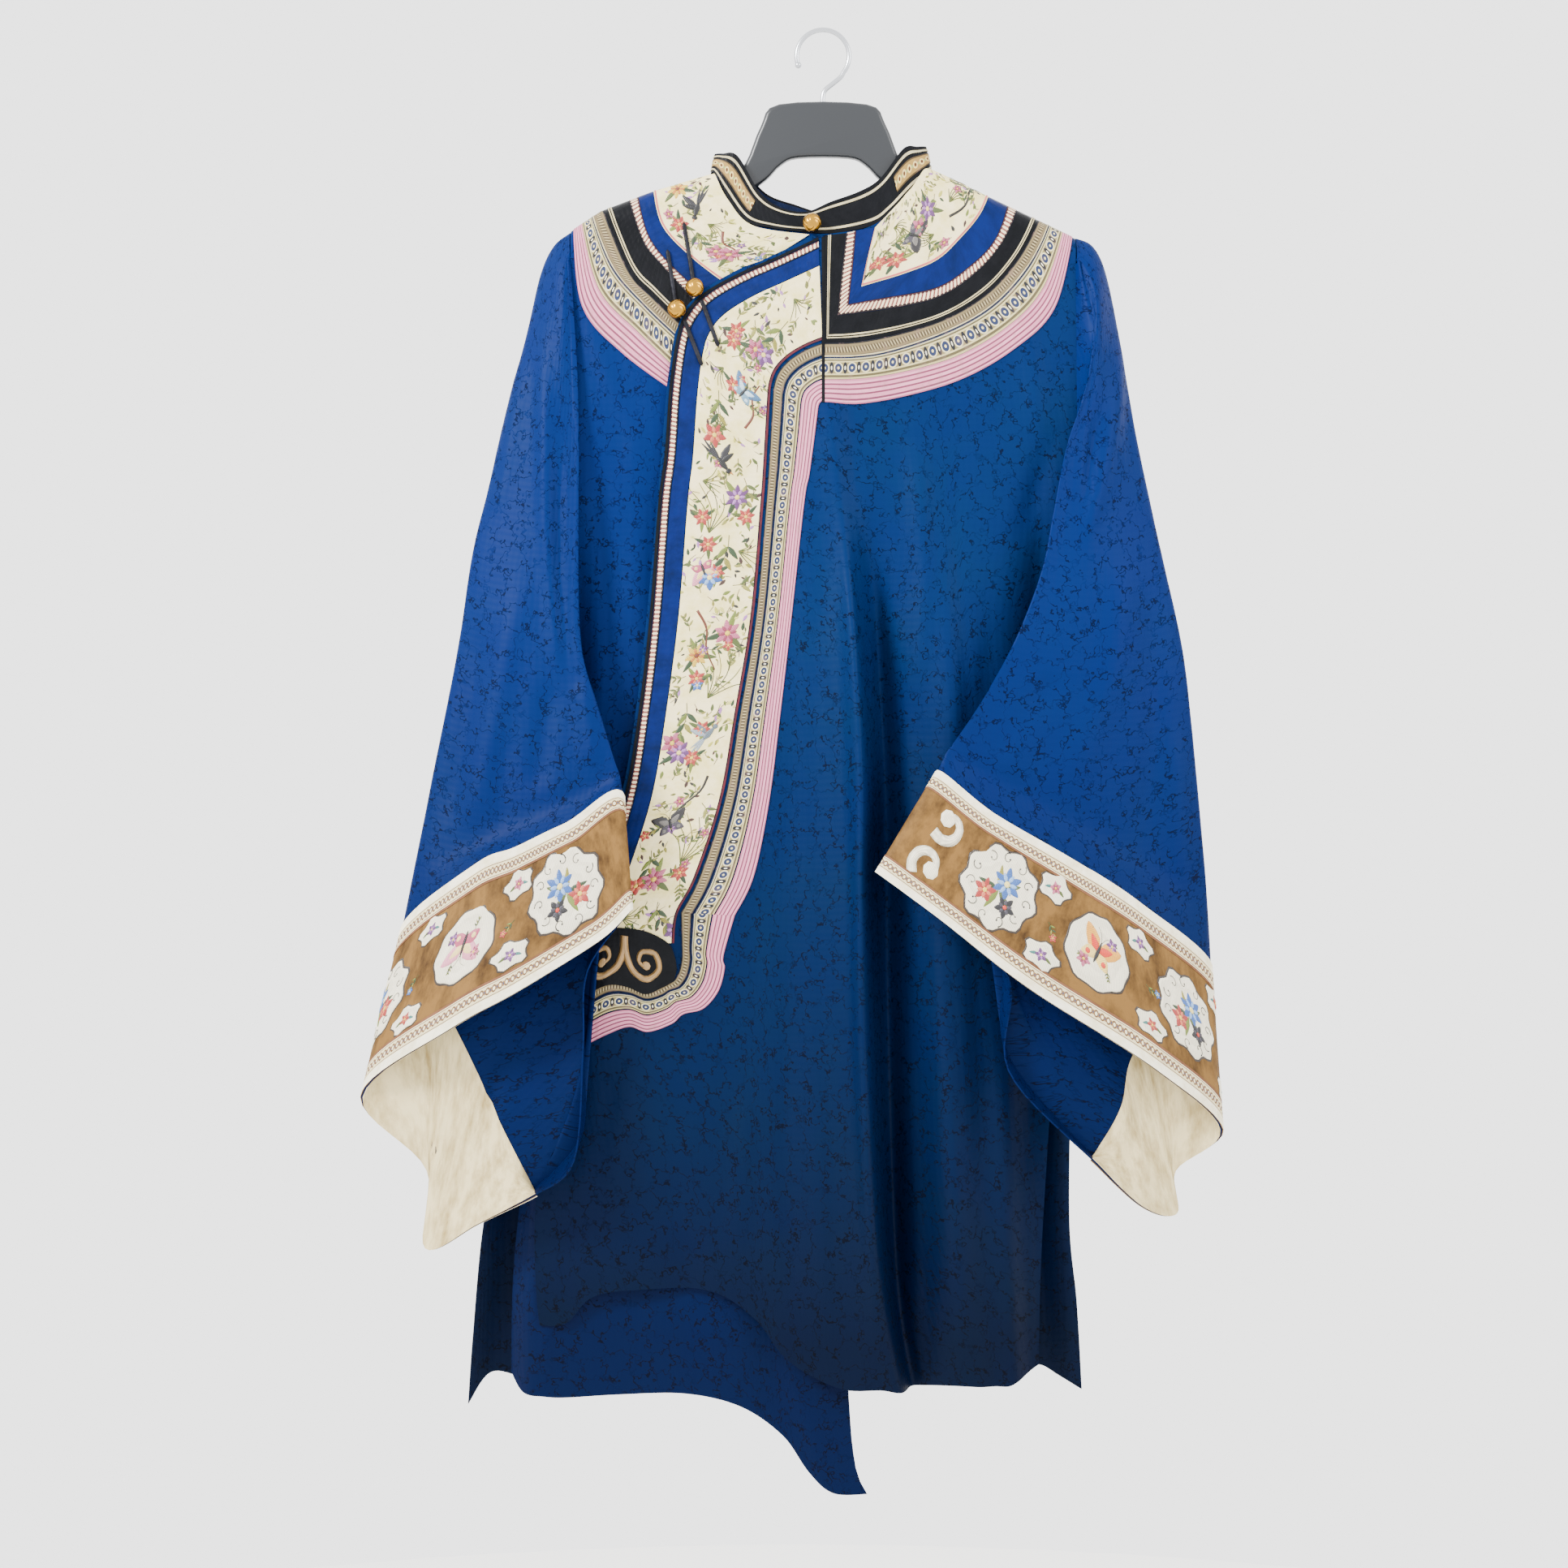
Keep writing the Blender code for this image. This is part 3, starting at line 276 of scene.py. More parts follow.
underCreases = [
    ([(-150, -300), (-150, -480)], 1.6, 9, 0), ([(-176, -330), (-172, -520)], -1.8, 8, 0),
    ([(-190, -230), (-150, -330)], 1.2, 7, 0), ([(-214, -980), (-222, -1070)], 1.4, 6, 0),
    ([(-150, -1020), (-100, -1070)], 1.0, 8, 0), ([(-30, -1060), (0, -1150)], 1.2, 7, 0),
    ([(-230, -860), (-236, -1000)], -1.2, 6, 0),
]
backCreases = [
    ([(-60, -330), (-70, -700), (-80, -1000)], 2.0, 12, 0), ([(50, -330), (64, -650), (70, -1000)], -1.8, 11, 0),
    ([(-150, -400), (-176, -700), (-200, -1000)], -2.0, 12, 0), ([(-190, -250), (-130, -400)], 1.6, 9, 0),
    ([(190, -250), (136, -420)], 1.6, 9, 0), ([(140, -450), (150, -800), (160, -1040)], 1.8, 10, 0),
    ([(-180, -322), (0, -328), (180, -322)], -0.6, 3, 1), ([(-200, -560), (0, -566), (180, -560)], -0.6, 3, 1),
    ([(-210, -800), (0, -806), (180, -800)], -0.6, 3, 1), ([(0, -300), (4, -320)], 0.8, 6, 0),
    ([(20, -420), (24, -900)], 1.2, 9, 0), ([(-20, -520), (-30, -980)], -1.2, 9, 0),
]


def creaseAt(x, z, creases):
    total = 0.0
    for line, height, width, sharp in creases:
        d, spot = lineDistance(x, z, line)
        if d > width * 4:
            continue
        fade = ease(min(spot, 1 - spot) * 4 + 0.15)
        total += height * fade * (math.exp(-d / width) if sharp else bell(d, width))
    return total


def ripple(x, z, size=1.0, seed=0.0):
    # the small unevenness of thin silk, longer down the cloth than across
    broad = noise.noise(Vector((x / 46 + seed, z / 130, 3.1)))
    fine = noise.noise(Vector((x / 15, z / 40 + seed, 7.7)))
    return size * (1.1 * broad + 0.35 * fine)


def gridMesh(name, points, metres, joinedFrom=None):
    # a quad mesh through rows of points in mm; its UV map is in metres
    net = bmesh.new()
    rows = [[net.verts.new(Vector(p) * mm) for p in row] for row in points]
    layer = net.loops.layers.uv.new("UVMap")
    for j in range(len(rows) - 1):
        for i in range(len(rows[0]) - 1):
            corners = ((j, i), (j, i + 1), (j + 1, i + 1), (j + 1, i))
            face = net.faces.new([rows[a][b] for a, b in corners])
            face.smooth = True
            for loop, (a, b) in zip(face.loops, corners):
                loop[layer].uv = metres[a][b]
    if joinedFrom is not None:
        bmesh.ops.remove_doubles(net, verts=[v for row in rows[joinedFrom:] for v in (row[0], row[-1])],
                                 dist=0.0000005)
    mesh = bpy.data.meshes.new(name)
    net.to_mesh(mesh)
    net.free()
    piece = bpy.data.objects.new(name, mesh)
    bpy.context.scene.collection.objects.link(piece)
    return piece


def flatUv(points):
    # u along each row from its middle column, v down each column, in metres
    centre = len(points[0]) // 2
    metres = []
    for j, row in enumerate(points):
        run = [0.0]
        for a, b in zip(row, row[1:]):
            run.append(run[-1] + math.dist(a, b) * mm)
        metres.append([(run[i] - run[centre],
                        p[2] * mm if j == 0 else metres[-1][i][1] - math.dist(points[j - 1][i], p) * mm)
                       for i, p in enumerate(row)])
    return metres


def thicken(piece, thickness, offset=0.0):
    bpy.ops.object.select_all(action="DESELECT")
    piece.select_set(True)
    bpy.context.view_layer.objects.active = piece
    wall = piece.modifiers.new("wall", "SOLIDIFY")
    wall.thickness = thickness * mm
    wall.offset = offset
    wall.use_even_offset = False
    bpy.ops.object.modifier_apply(modifier=wall.name)
    bpy.ops.object.shade_smooth_by_angle(angle=math.radians(60))
    piece.select_set(False)


def outwards(piece, away):
    # turn the faces so that they look away from the robe's middle surface
    mesh = piece.data
    lean = sum(p.normal.dot(away) * p.area for p in mesh.polygons)
    if lean < 0:
        mesh.flip_normals()


def flatArea(piece):
    return sum(p.area for p in piece.data.polygons)


def rowsDown(count, crowd=1.5):
    return [(k / count) ** crowd for k in range(count + 1)]


clothWall = 1.2


def makePanel(name, point, cut, creases, side, seed):
    points = []
    for v in rowsDown(cut["rows"]):
        row = []
        for k in range(cut["columns"] + 1):
            u = k / cut["columns"]
            x, y, z = point(u, v)
            loose = ease((ridgeHeight(x) - z - 20) / 60)
            edge = ease(min(u, 1 - u) * 14)
            y += side * loose * edge * (creaseAt(x, z, creases) + ripple(x, z, 0.9, seed))
            row.append((x, y, z))
        points.append(row)
    piece = gridMesh(name, points, flatUv(points))
    outwards(piece, Vector((0, side, 0)))
    piece["flatArea"] = flatArea(piece)
    return piece


print("robe: panels")
frontOverlap = makePanel("frontOverlap", overlapPoint, overlapCut, frontCreases, -1, 0.0)
frontUnder = makePanel("frontUnder", underPoint, underCut, underCreases, -1, 5.0)
backPanel = makePanel("backPanel", backPoint, backCut, backCreases, 1, 11.0)


# What lies on a panel is made from the panel's own points, moved out

class Skin:
    def __init__(self, piece, side):
        mesh = piece.data
        self.tree = BVHTree.FromPolygons([v.co.copy() for v in mesh.vertices],
                                         [tuple(p.vertices) for p in mesh.polygons])
        self.side = side

    def point(self, x, z, lift):
        turn = shoulderTurn(x, z)
        out = clothWall / 2 + lift
        if turn < math.pi / 2 - 0.02:
            low = ridgeHeight(x) - hang["round"] * (1 - math.cos(turn))
            return (x, self.side * (hang["round"] + out) * math.sin(turn), low + out * math.cos(turn))
        start = Vector((x, self.side * 400, z)) * mm
        hit = self.tree.ray_cast(start, Vector((0, -self.side, 0)))[0]
        if hit is None:
            hit = self.tree.find_nearest(Vector((x, self.side * 25, z)) * mm)[0]
        return x, hit.y / mm + self.side * out, z


overlapSkin = Skin(frontOverlap, -1)
underSkin = Skin(frontUnder, -1)
backSkin = Skin(backPanel, 1)
for piece in (frontOverlap, frontUnder, backPanel):
    thicken(piece, clothWall)


# Sleeves: upper rows give the outer fold, the inner fold and the join to the body as x, z and y

sleeveCuts = {
    "left": {
        "upper": [
            ((-202, -161, 0), (-201.8, -183, -15), -188), ((-215, -172, 0), (-198, -234, -24), -238),
            ((-225, -194, -2), (-195, -283, -30), -289), ((-236, -241, -4), (-194, -332, -34), -346),
            ((-252, -303, -8), (-194, -380, -38), -404), ((-266, -365, -12), (-194, -432, -42), -459),
            ((-279, -420, -16), (-193, -474, -46), -514), ((-289, -488, -20), (-189, -506, -52), (-199, -559, -24)),
            ((-302, -559, -25), (-176, -547, -58), (-192, -630, -35)),
            ((-316, -633, -30), (-165, -582, -64), (-189, -720, -42)),
            ((-324, -674, -34), (-160, -597, -66), (-191, -834, -44))],
        "sewn": [(-229, -923, -40), (-191, -879, -42), (-189, -815, -44), (-187, -751, -47), (-157, -612, -68),
                 (-201, -633, -72), (-240, -651, -70), (-272, -665, -64), (-332, -715, -38),
                 (-310, -758, -36), (-282, -811, -37), (-256, -867, -38)],
        "mouth": [(-225, -923, -62), (-195, -896, -68), (-188, -807, -70), (-184, -747, -71), (-150, -700, -79),
                  (-172, -722, -84), (-236, -762, -84), (-291, -793, -75), (-365, -849, -36),
                  (-314, -908, -26), (-315, -970, -26), (-271, -948, -44)],
    },
    "right": {
        "upper": [
            ((202, -165.6, 0), (202, -184, -15), -188), ((215, -171, 0), (213, -228, -26), -238),
            ((225, -192, -2), (213, -258, -34), -289), ((235, -238, -4), (205, -297, -40), -346),
            ((245, -297, -8), (191, -339, -46), -404), ((255, -352, -12), (181, -389, -50), -459),
            ((267, -411, -16), (171, -436, -54), -514), ((284, -488, -20), (150, -490, -60), (197, -559, -26)),
            ((292, -559, -25), (125, -535, -64), (183, -624, -42)),
            ((299, -637, -30), (103, -568, -68), (163, -681, -48)),
            ((303, -694, -34), (95, -580, -70), (147, -751, -52))],
        "sewn": [(212, -896, -44), (145, -815, -50), (140, -745, -53), (134, -674, -57), (88, -593, -72),
                 (132, -625, -78), (197, -663, -76), (249, -697, -66), (305, -745, -38),
                 (272, -777, -33), (243, -818, -35), (234, -857, -40)],
        "mouth": [(209, -895, -64), (144, -825, -68), (144, -753, -68), (88, -706, -70), (41, -671, -76),
                  (91, -708, -86), (158, -760, -90), (255, -822, -76), (314, -875, -36),
                  (280, -909, -21), (280, -943, -22), (250, -934, -46)],
    },
}
sleeveForm = {
    "returnShares": (0.3, 0.6, 0.86),
    "frontShares": ((0.14, 2.5), (0.46, 9.0), (0.8, 7.5)),
    "backShares": ((0.2, 7.0), (0.5, 9.0), (0.8, 6.0)),
    "ringSteps": 8, "rowSteps": 8, "cuffRows": 14,
}
# Crease lines on the sleeves, in x and z: on the front layer and on the back layer
sleeveCreases = {
    "left": {
        "front": [([(-222, -225), (-219, -393), (-212, -470), (-204, -520)], 3.0, 6, 0),
                  ([(-206, -330), (-208, -440), (-198, -500)], -3.0, 5, 0),
                  ([(-256, -345), (-262, -372)], -1.4, 5, 0), ([(-240, -440), (-262, -560), (-280, -640)], 2.6, 11, 0),
                  ([(-214, -520), (-226, -610)], -2.0, 8, 0), ([(-190, -520), (-180, -590)], 2.2, 8, 0),
                  ([(-270, -470), (-296, -640)], -2.2, 9, 0), ([(-236, -260), (-262, -390)], 2.0, 8, 0),
                  ([(-250, -560), (-252, -640)], -1.4, 6, 0), ([(-196, -640), (-220, -700)], 1.2, 8, 0),
                  ([(-260, -700), (-290, -760)], -1.4, 9, 0)],
        "back": [([(-240, -260), (-250, -480), (-262, -700)], 2.4, 12, 0), ([(-216, -300), (-220, -520)], -2.0, 9, 0),
                 ([(-270, -420), (-290, -640)], -1.8, 9, 0), ([(-225, -560), (-240, -760)], 1.8, 9, 0),
                 ([(-280, -860), (-250, -900)], 1.6, 9, 0), ([(-330, -860), (-300, -900)], -1.4, 8, 0),
                 ([(-256, -790), (-270, -900)], 2.2, 7, 0), ([(-300, -800), (-308, -930)], -2.0, 7, 0)],
    },
    "right": {
        "front": [([(238, -240), (232, -300), (216, -370), (186, -440), (160, -486)], 3.2, 8, 0),
                  ([(222, -300), (206, -372), (172, -440)], -3.0, 7, 0),
                  ([(240, -420), (226, -520), (190, -610)], 2.4, 12, 0),
                  ([(260, -440), (262, -560), (250, -660)], -2.0, 10, 0),
                  ([(190, -500), (150, -570)], -1.8, 8, 0), ([(280, -560), (284, -690)], 1.8, 8, 0),
                  ([(170, -540), (140, -596)], 1.8, 7, 0), ([(240, -250), (246, -360)], -1.2, 6, 0),
                  ([(120, -640), (150, -700)], 1.0, 9, 0), ([(200, -700), (230, -770)], -1.2, 9, 0)],
        "back": [([(226, -260), (236, -480), (250, -700)], 2.4, 12, 0), ([(212, -320), (214, -520)], -2.0, 9, 0),
                 ([(262, -420), (280, -640)], -1.8, 9, 0), ([(220, -560), (224, -780)], 1.8, 9, 0),
                 ([(250, -850), (240, -910)], 2.0, 8, 0), ([(285, -820), (270, -900)], -1.6, 8, 0)],
    },
}


def armholeDepth(side, z, back=False):
    x = ax if side == "right" else -ax
    pull = sidePull(z)
    depth = backDepth(x, z) if back else frontDepth(x, z)
    if side == "left" and not back:
        depth += hang["underRecess"] * ease((-300 - z) / 150)
    return depth * (1 - pull) + (hang["sideSeam"] if back else -hang["sideSeam"]) * pull


def ringKeys(side, row):
    outer, inner, join = row
    sign = 1 if side == "right" else -1
    hangsOpen = not isinstance(join, tuple)
    if hangsOpen:
        z = join
        start = (sign * hang["sleeveX"], armholeDepth(side, z), z)
        end = (sign * hang["sleeveX"], armholeDepth(side, z, back=True), z)
        if z == hang["underarmZ"]:
            start = end = (sign * hang["underarmX"], 0.0, z)
    else:
        start = end = (join[0], join[2], join[1])
    outer = (outer[0], outer[2], outer[1])
    inner = (inner[0], inner[2], inner[1])
    size = min(1.0, math.dist(outer, inner) / 70)
    keys = [start]
    for share in sleeveForm["returnShares"]:
        x, y, z = mixed(start, inner, share)
        lead = 1.5 * math.sin(math.pi * share) if hangsOpen else 0.0
        keys.append((x + sign * lead, y - 2 * lead, z))
    keys.append(inner)
    for share, bulge in sleeveForm["frontShares"]:
        x, y, z = mixed(inner, outer, share)
        keys.append((x, y - bulge * size, z))
    keys.append(outer)
    for share, bulge in sleeveForm["backShares"]:
        x, y, z = mixed(outer, end, share)
        keys.append((x, y + bulge * size, z))
    keys.append(end)
    return keys


def fullRing(row):
    keys = [(x, y, z) for x, z, y in row]
    return keys + [keys[0]]


def ringPoint(keys, p):
    # round the ring, through its keys
    return curveAt(keys, p)


def sleeveRings(side):
    cut = sleeveCuts[side]
    rings = [ringKeys(side, row) for row in cut["upper"]] + [fullRing(cut["sewn"])]
    mouth = fullRing(cut["mouth"])
    steps = sleeveForm["rowSteps"]
    rows = []
    for j in range((len(rings) - 1) * steps + 1):
        rows.append([curveAt([ring[k] for ring in rings], j / steps) for k in range(len(mouth))])
    sewn = rows[-1]
    cuff = [[mixed(a, b, j / sleeveForm["cuffRows"]) for a, b in zip(sewn, mouth)]
            for j in range(1, sleeveForm["cuffRows"] + 1)]
    return rows, cuff


def makeSleeve(side):
    rows, cuff = sleeveRings(side)
    steps = sleeveForm["ringSteps"]
    count = (len(rows[0]) - 1) * steps
    points = [[ringPoint(keys, i / steps) for i in range(count + 1)] for keys in rows + cuff]
    piece = gridMesh("sleeve" + side.title(), points, flatUv(points), joinedFrom=6 * sleeveForm["rowSteps"])
    mesh = piece.data
    centre = sum((Vector(p) for p in points[-1]), Vector()) * mm / len(points[-1])
    ring = [Vector(p) * mm for p in points[-1]]
    lean = 0.0
    for p in mesh.polygons:
        if p.center.z < -0.72:
            lean += (p.center - centre).dot(p.normal) * p.area
    if lean < 0:
        mesh.flip_normals()
    # creases and ripples go out along the normals, on the layer that they belong to
    normals = [v.normal.copy() for v in mesh.vertices]
    sign = 1 if side == "right" else -1
    for v, n in zip(mesh.vertices, normals):
        x, z = v.co.x / mm, v.co.z / mm
        if abs(x) < hang["armholeX"] + 3 and z > -520:
            continue
        layer = "front" if n.y < 0 else "back"
        near = ease((abs(x) - abs(ax)) / 12) if z > -520 else 1.0
        move = creaseAt(x, z, sleeveCreases[side][layer]) * 1.5 * abs(n.y) + ripple(x, z, 0.8, sign * 9.0)
        v.co = v.co + n * (move * near * mm)
    piece["flatArea"] = flatArea(piece)
    piece["rings"] = len(points)
    return piece, len(rows) - 1


print("robe: sleeves")
sleeves = {}
for side in ("left", "right"):
    piece, sewnRow = makeSleeve(side)
    sleeves[side] = {"piece": piece, "sewn": sewnRow, "columns": (len(sleeveCuts[side]["mouth"])) * 8}


# The sleeve's rows are kept before its ends are joined, so that each row has all its columns
def cuffTable(side):
    rows, cuff = sleeveRings(side)
    steps = sleeveForm["ringSteps"]
    count = (len(rows[0]) - 1) * steps
    keep = [rows[-1]] + cuff
    mesh = sleeves[side]["piece"].data
    tree = BVHTree.FromPolygons([v.co.copy() for v in mesh.vertices], [tuple(p.vertices) for p in mesh.polygons])
    table = []
    for keys in keep:
        line = []
        for i in range(count + 1):
            spot = Vector(ringPoint(keys, i / steps)) * mm
            found, normal, _, _ = tree.find_nearest(spot)
            line.append((found / mm, normal))
        table.append(line)
    # normals are averaged, because the nearest face's own would step from face to face
    smoothTable = []
    for j, line in enumerate(table):
        out = []
        for i, (spot, _) in enumerate(line):
            total = Vector()
            for dj in (-1, 0, 1):
                for di in (-2, -1, 0, 1, 2):
                    jj, ii = j + dj, i + di
                    if 0 <= jj < len(table) and 0 <= ii < len(line):
                        total += table[jj][ii][1]
            out.append((spot, total.normalized() if total.length > 0.01 else line[i][1]))
        smoothTable.append(out)
    return smoothTable


cuffTables = {side: cuffTable(side) for side in ("left", "right")}
cuffSpan = {"bandFrom": 4 * 8, "facingFrom": 5 * 8, "bandLift": 0.25, "bandWall": 0.6, "facingLift": 0.25,
            "facingWall": 0.6}


def cuffPoint(side, i, j, lift):
    # i is a column and j a row, both real numbers
    table = cuffTables[side]
    i = min(max(i, 0), len(table[0]) - 1)
    j = min(max(j, 0), len(table) - 1)
    i0, j0 = min(int(i), len(table[0]) - 2), min(int(j), len(table) - 2)
    fi, fj = i - i0, j - j0
    spot, normal = Vector(), Vector()
    for a, b, share in ((j0, i0, (1 - fj) * (1 - fi)), (j0, i0 + 1, (1 - fj) * fi), (j0 + 1, i0, fj * (1 - fi)),
                        (j0 + 1, i0 + 1, fj * fi)):
        spot += table[a][b][0] * share
        normal += table[a][b][1] * share
    return spot + normal.normalized() * lift


def makeCuffPiece(name, side, first, lift, wall):
    table = cuffTables[side]
    last = len(table[0]) - 1
    points = [[tuple(cuffPoint(side, i, j, lift)) for i in range(first, last + 1)] for j in range(len(table))]
    lengths = [0.0]
    for a, b in zip(points[0], points[0][1:]):
        lengths.append(lengths[-1] + math.dist(a, b) * mm)
    metres = [[(lengths[i], 0.055 * j / (len(table) - 1)) for i in range(len(points[0]))] for j in range(len(table))]
    piece = gridMesh(name, points, metres)
    piece["flatArea"] = flatArea(piece)
    thicken(piece, wall)
    return piece


print("robe: cuffs")
cuffPieces = {}
for side in ("left", "right"):
    outLift = clothWall / 2 + cuffSpan["bandLift"] + cuffSpan["bandWall"] / 2
    inLift = -(clothWall / 2 + cuffSpan["facingLift"] + cuffSpan["facingWall"] / 2)
    cuffPieces["band", side] = makeCuffPiece("sleeveBand" + side.title(), side, cuffSpan["bandFrom"], outLift,
                                             cuffSpan["bandWall"])
    cuffPieces["facing", side] = makeCuffPiece("cuffFacing" + side.title(), side, cuffSpan["facingFrom"], inLift,
                                               cuffSpan["facingWall"])
    thicken(sleeves[side]["piece"], clothWall)


# Ribbons: strips between two guide lines on the cloth, from x and z tables in mm

yokeOrder = ["cream", "blue", "check", "black", "tan", "figured", "pink"]
yokeRight = [
    [(41, -160), (35, -184), (30, -208), (66, -196), (91, -185), (109, -168), (124, -150), (133, -132)],
    [(26, -163), (23, -196), (20, -222), (50, -216), (91, -207), (119, -188), (137, -168), (148, -139)],
    [(18, -165), (14, -200), (11, -231), (46, -226), (90, -216), (121, -196), (142, -172), (156, -143)],
    [(1, -167), (1, -210), (1, -253), (37, -250), (91, -235), (129, -213), (155, -184), (173, -151)],
    [(1, -264), (43, -261), (95, -244), (134, -222), (163, -190), (181, -155)],
    [(1, -282), (43, -279), (102, -264), (147, -238), (175, -207), (192, -160)],
    [(1, -300), (37, -300), (102, -284), (150, -258), (184, -224), (199.5, -164)],
]
yokeRightNeck = [(42, -159), (52, -149), (60, -141), (66, -135), (72, -129), (77, -122), (82, -115), (86, -112)]
yokeLeft = [
    [(-136, -127), (-128, -158), (-104, -184), (-76, -206)],
    [(-148, -132), (-139, -165), (-122, -188), (-92, -216)],
    [(-156, -135), (-143, -171), (-128, -190), (-104, -217)],
    [(-176, -143), (-154, -195), (-135, -216), (-110, -240)],
    [(-185, -148), (-168, -190), (-142, -221), (-111, -251)],
    [(-193, -153), (-178, -209), (-146, -244), (-111, -278)],
    [(-199.5, -157), (-192, -222), (-160, -260), (-111, -296)],
]
yokeLeftNeck = [(-89, -116), (-78, -138), (-58, -159), (-14, -167)]
backNeck = [(-89, -116), (-80, -136), (-63, -153.5), (-32, -164), (0, -167.5), (34, -163), (61, -151),
            (76, -134.5), (87, -113)]
yokeBackEnds = [(-136, 133), (-148, 148), (-156, 156), (-176, 173), (-185, 181), (-193, 192), (-199.5, 199.5)]
yokeBackLow = [-216, -232, -241, -263, -274, -292, -310]
yokeCorner = 2
closingGuide = [
    ((-4, -168), (-1, -252), (-1, -299)), ((-36, -183), (-14, -257), (-1, -299)),
    ((-66, -196), (-27, -265), (-2, -300)), ((-93, -211), (-36, -275), (-3, -301)),
    ((-108, -226), (-40, -286), (-4, -304)), ((-116, -246), (-41, -296), (-5, -312)),
    ((-122, -286), (-42, -315), (-7, -328)), ((-126, -340), (-44, -350), (-11, -357)),
    ((-131, -379), (-46, -379), (-15, -379)), ((-138, -469), (-54, -469), (-25, -469)),
    ((-147, -547), (-67, -547), (-34, -547)), ((-158, -612), (-79, -614), (-43, -617)),
    ((-178, -675), (-99, -675), (-55, -675)), ((-189, -704), (-114, -704), (-70, -706)),
]
closingTail = ((-193, -726), (-117, -728))
closingInset = 0.2
closingStrips = [
    # name, finish, from, to: 0 is the edge, 1 the dark line, 2 the pink ribbon's inner edge
    ("piping", "blackSatin", 0.0, 0.03), ("check", "checkRibbon", 0.035, 0.105), ("blue", "blueBias", 0.11, 0.27),
    ("embroidered", "creamSilk", 0.275, 0.955), ("cord", "darkCord", 0.96, 0.985), ("tan", "tanRibbon", 1.02, 1.24),
    ("figured", "figuredRibbon", 1.26, 1.62), ("pink", "pinkRibbon", 1.64, 2.0),
]
headEdge = [(-113.9, -704.1), (-113, -728), (-113, -740), (-115, -750), (-119, -757), (-125, -760), (-131, -763),
            (-141, -765), (-154, -760), (-170, -758), (-190, -769)]
headScallops = [(-70, -706.1), (-79, -738), (-78, -748), (-83, -766), (-95, -780), (-111, -784.5), (-120, -792),
                (-139, -798.5), (-154, -794.5), (-171, -800.5), (-188, -809)]
headStrips = [("tan", "tanRibbon", 0.02, 0.22), ("figured", "figuredRibbon", 0.24, 0.58),
              ("pink", "pinkRibbon", 0.6, 1.0)]
headTop = [(-117, -741), (-121, -730), (-130, -723), (-142, -718), (-155, -716), (-168, -716), (-180, -722),
           (-191, -730)]
headLow = [(-116, -748), (-119, -758), (-129, -764), (-141, -768.5), (-155, -763), (-168, -761), (-180, -765),
           (-191, -774)]
ribbonForm = {"lift": 0.25, "wall": 0.6, "headLift": 1.3, "gap": 0.15, "lineLift": 0.55, "lineWall": 0.6}
# the real widths of the ribbons in mm, which their woven patterns are drawn to
ribbonWidth = {"piping": 2, "check": 5, "blue": 11, "embroidered": 46, "cord": 2, "tan": 8, "figured": 14,
               "pink": 17, "cream": 44, "black": 22}


def edgeSpot(points, place, corner):
    return straightAt(points, place) if place < corner else curveAt(points[corner:], place - corner)


def crowdEnd(count, last, power=2.2):
    return [last * (1 - (1 - k / count) ** power) for k in range(count + 1)]


def crowdBoth(count, last):
    half = [last / 2 - p for p in reversed(crowdEnd(count // 2, last / 2))]
    return half + [last - p for p in reversed(half[:-1])]


def evenly(count, last):
    return [last * k / count for k in range(count + 1)]


def backRing(index):
    left, right = yokeBackEnds[index]
    ring = []
    for k in range(len(backNeck)):
        turn = math.pi * k / (len(backNeck) - 1)
        share = (1 - math.cos(turn)) / 2
        top = ridgeHeight(left) + (ridgeHeight(right) - ridgeHeight(left)) * share
        ring.append((left + (right - left) * share, top + (yokeBackLow[index] - top) * math.sin(turn)))
    return ring


def stripPoints(skin, inner, outer, places, shares, lift, corner=0):
    table = []
    for place in places:
        a, b = edgeSpot(inner, place, corner), edgeSpot(outer, place, corner)
        table.append([skin.point(*underRidge(*mixed(a, b, s)), lift) for s in shares])
    return table


def stripUv(table, shares, width):
    # u along the ribbon and v across it, both in metres
    middle = len(table[0]) // 2
    along = [0.0]
    for a, b in zip(table, table[1:]):
        along.append(along[-1] + math.dist(a[middle], b[middle]) * mm)
    low, high = shares[0], shares[-1]
    return [[(along[j], (s - low) / (high - low) * width * mm) for s in shares] for j in range(len(table))]


def makeStrip(name, finish, skin, inner, outer, places, low, high, columns, width, lift, wall, corner=0, gap=None):
    # the ribbon between two shares of the way from the inner to the outer guide line
    middle = len(places) // 2
    a, b = edgeSpot(inner, places[middle], corner), edgeSpot(outer, places[middle], corner)
    trim = (ribbonForm["gap"] if gap is None else gap) / max(math.dist(a, b), 1.0)
    shares = [low + trim + (high - low - 2 * trim) * k / columns for k in range(columns + 1)]
    table = stripPoints(skin, inner, outer, places, shares, lift + wall / 2, corner)
    piece = gridMesh(name, table, stripUv(table, shares, width))
    outwards(piece, Vector((0, skin.side, 0)))
    piece["flatArea"] = flatArea(piece)
    thicken(piece, wall)
    piece["finish"] = finish
    return piece


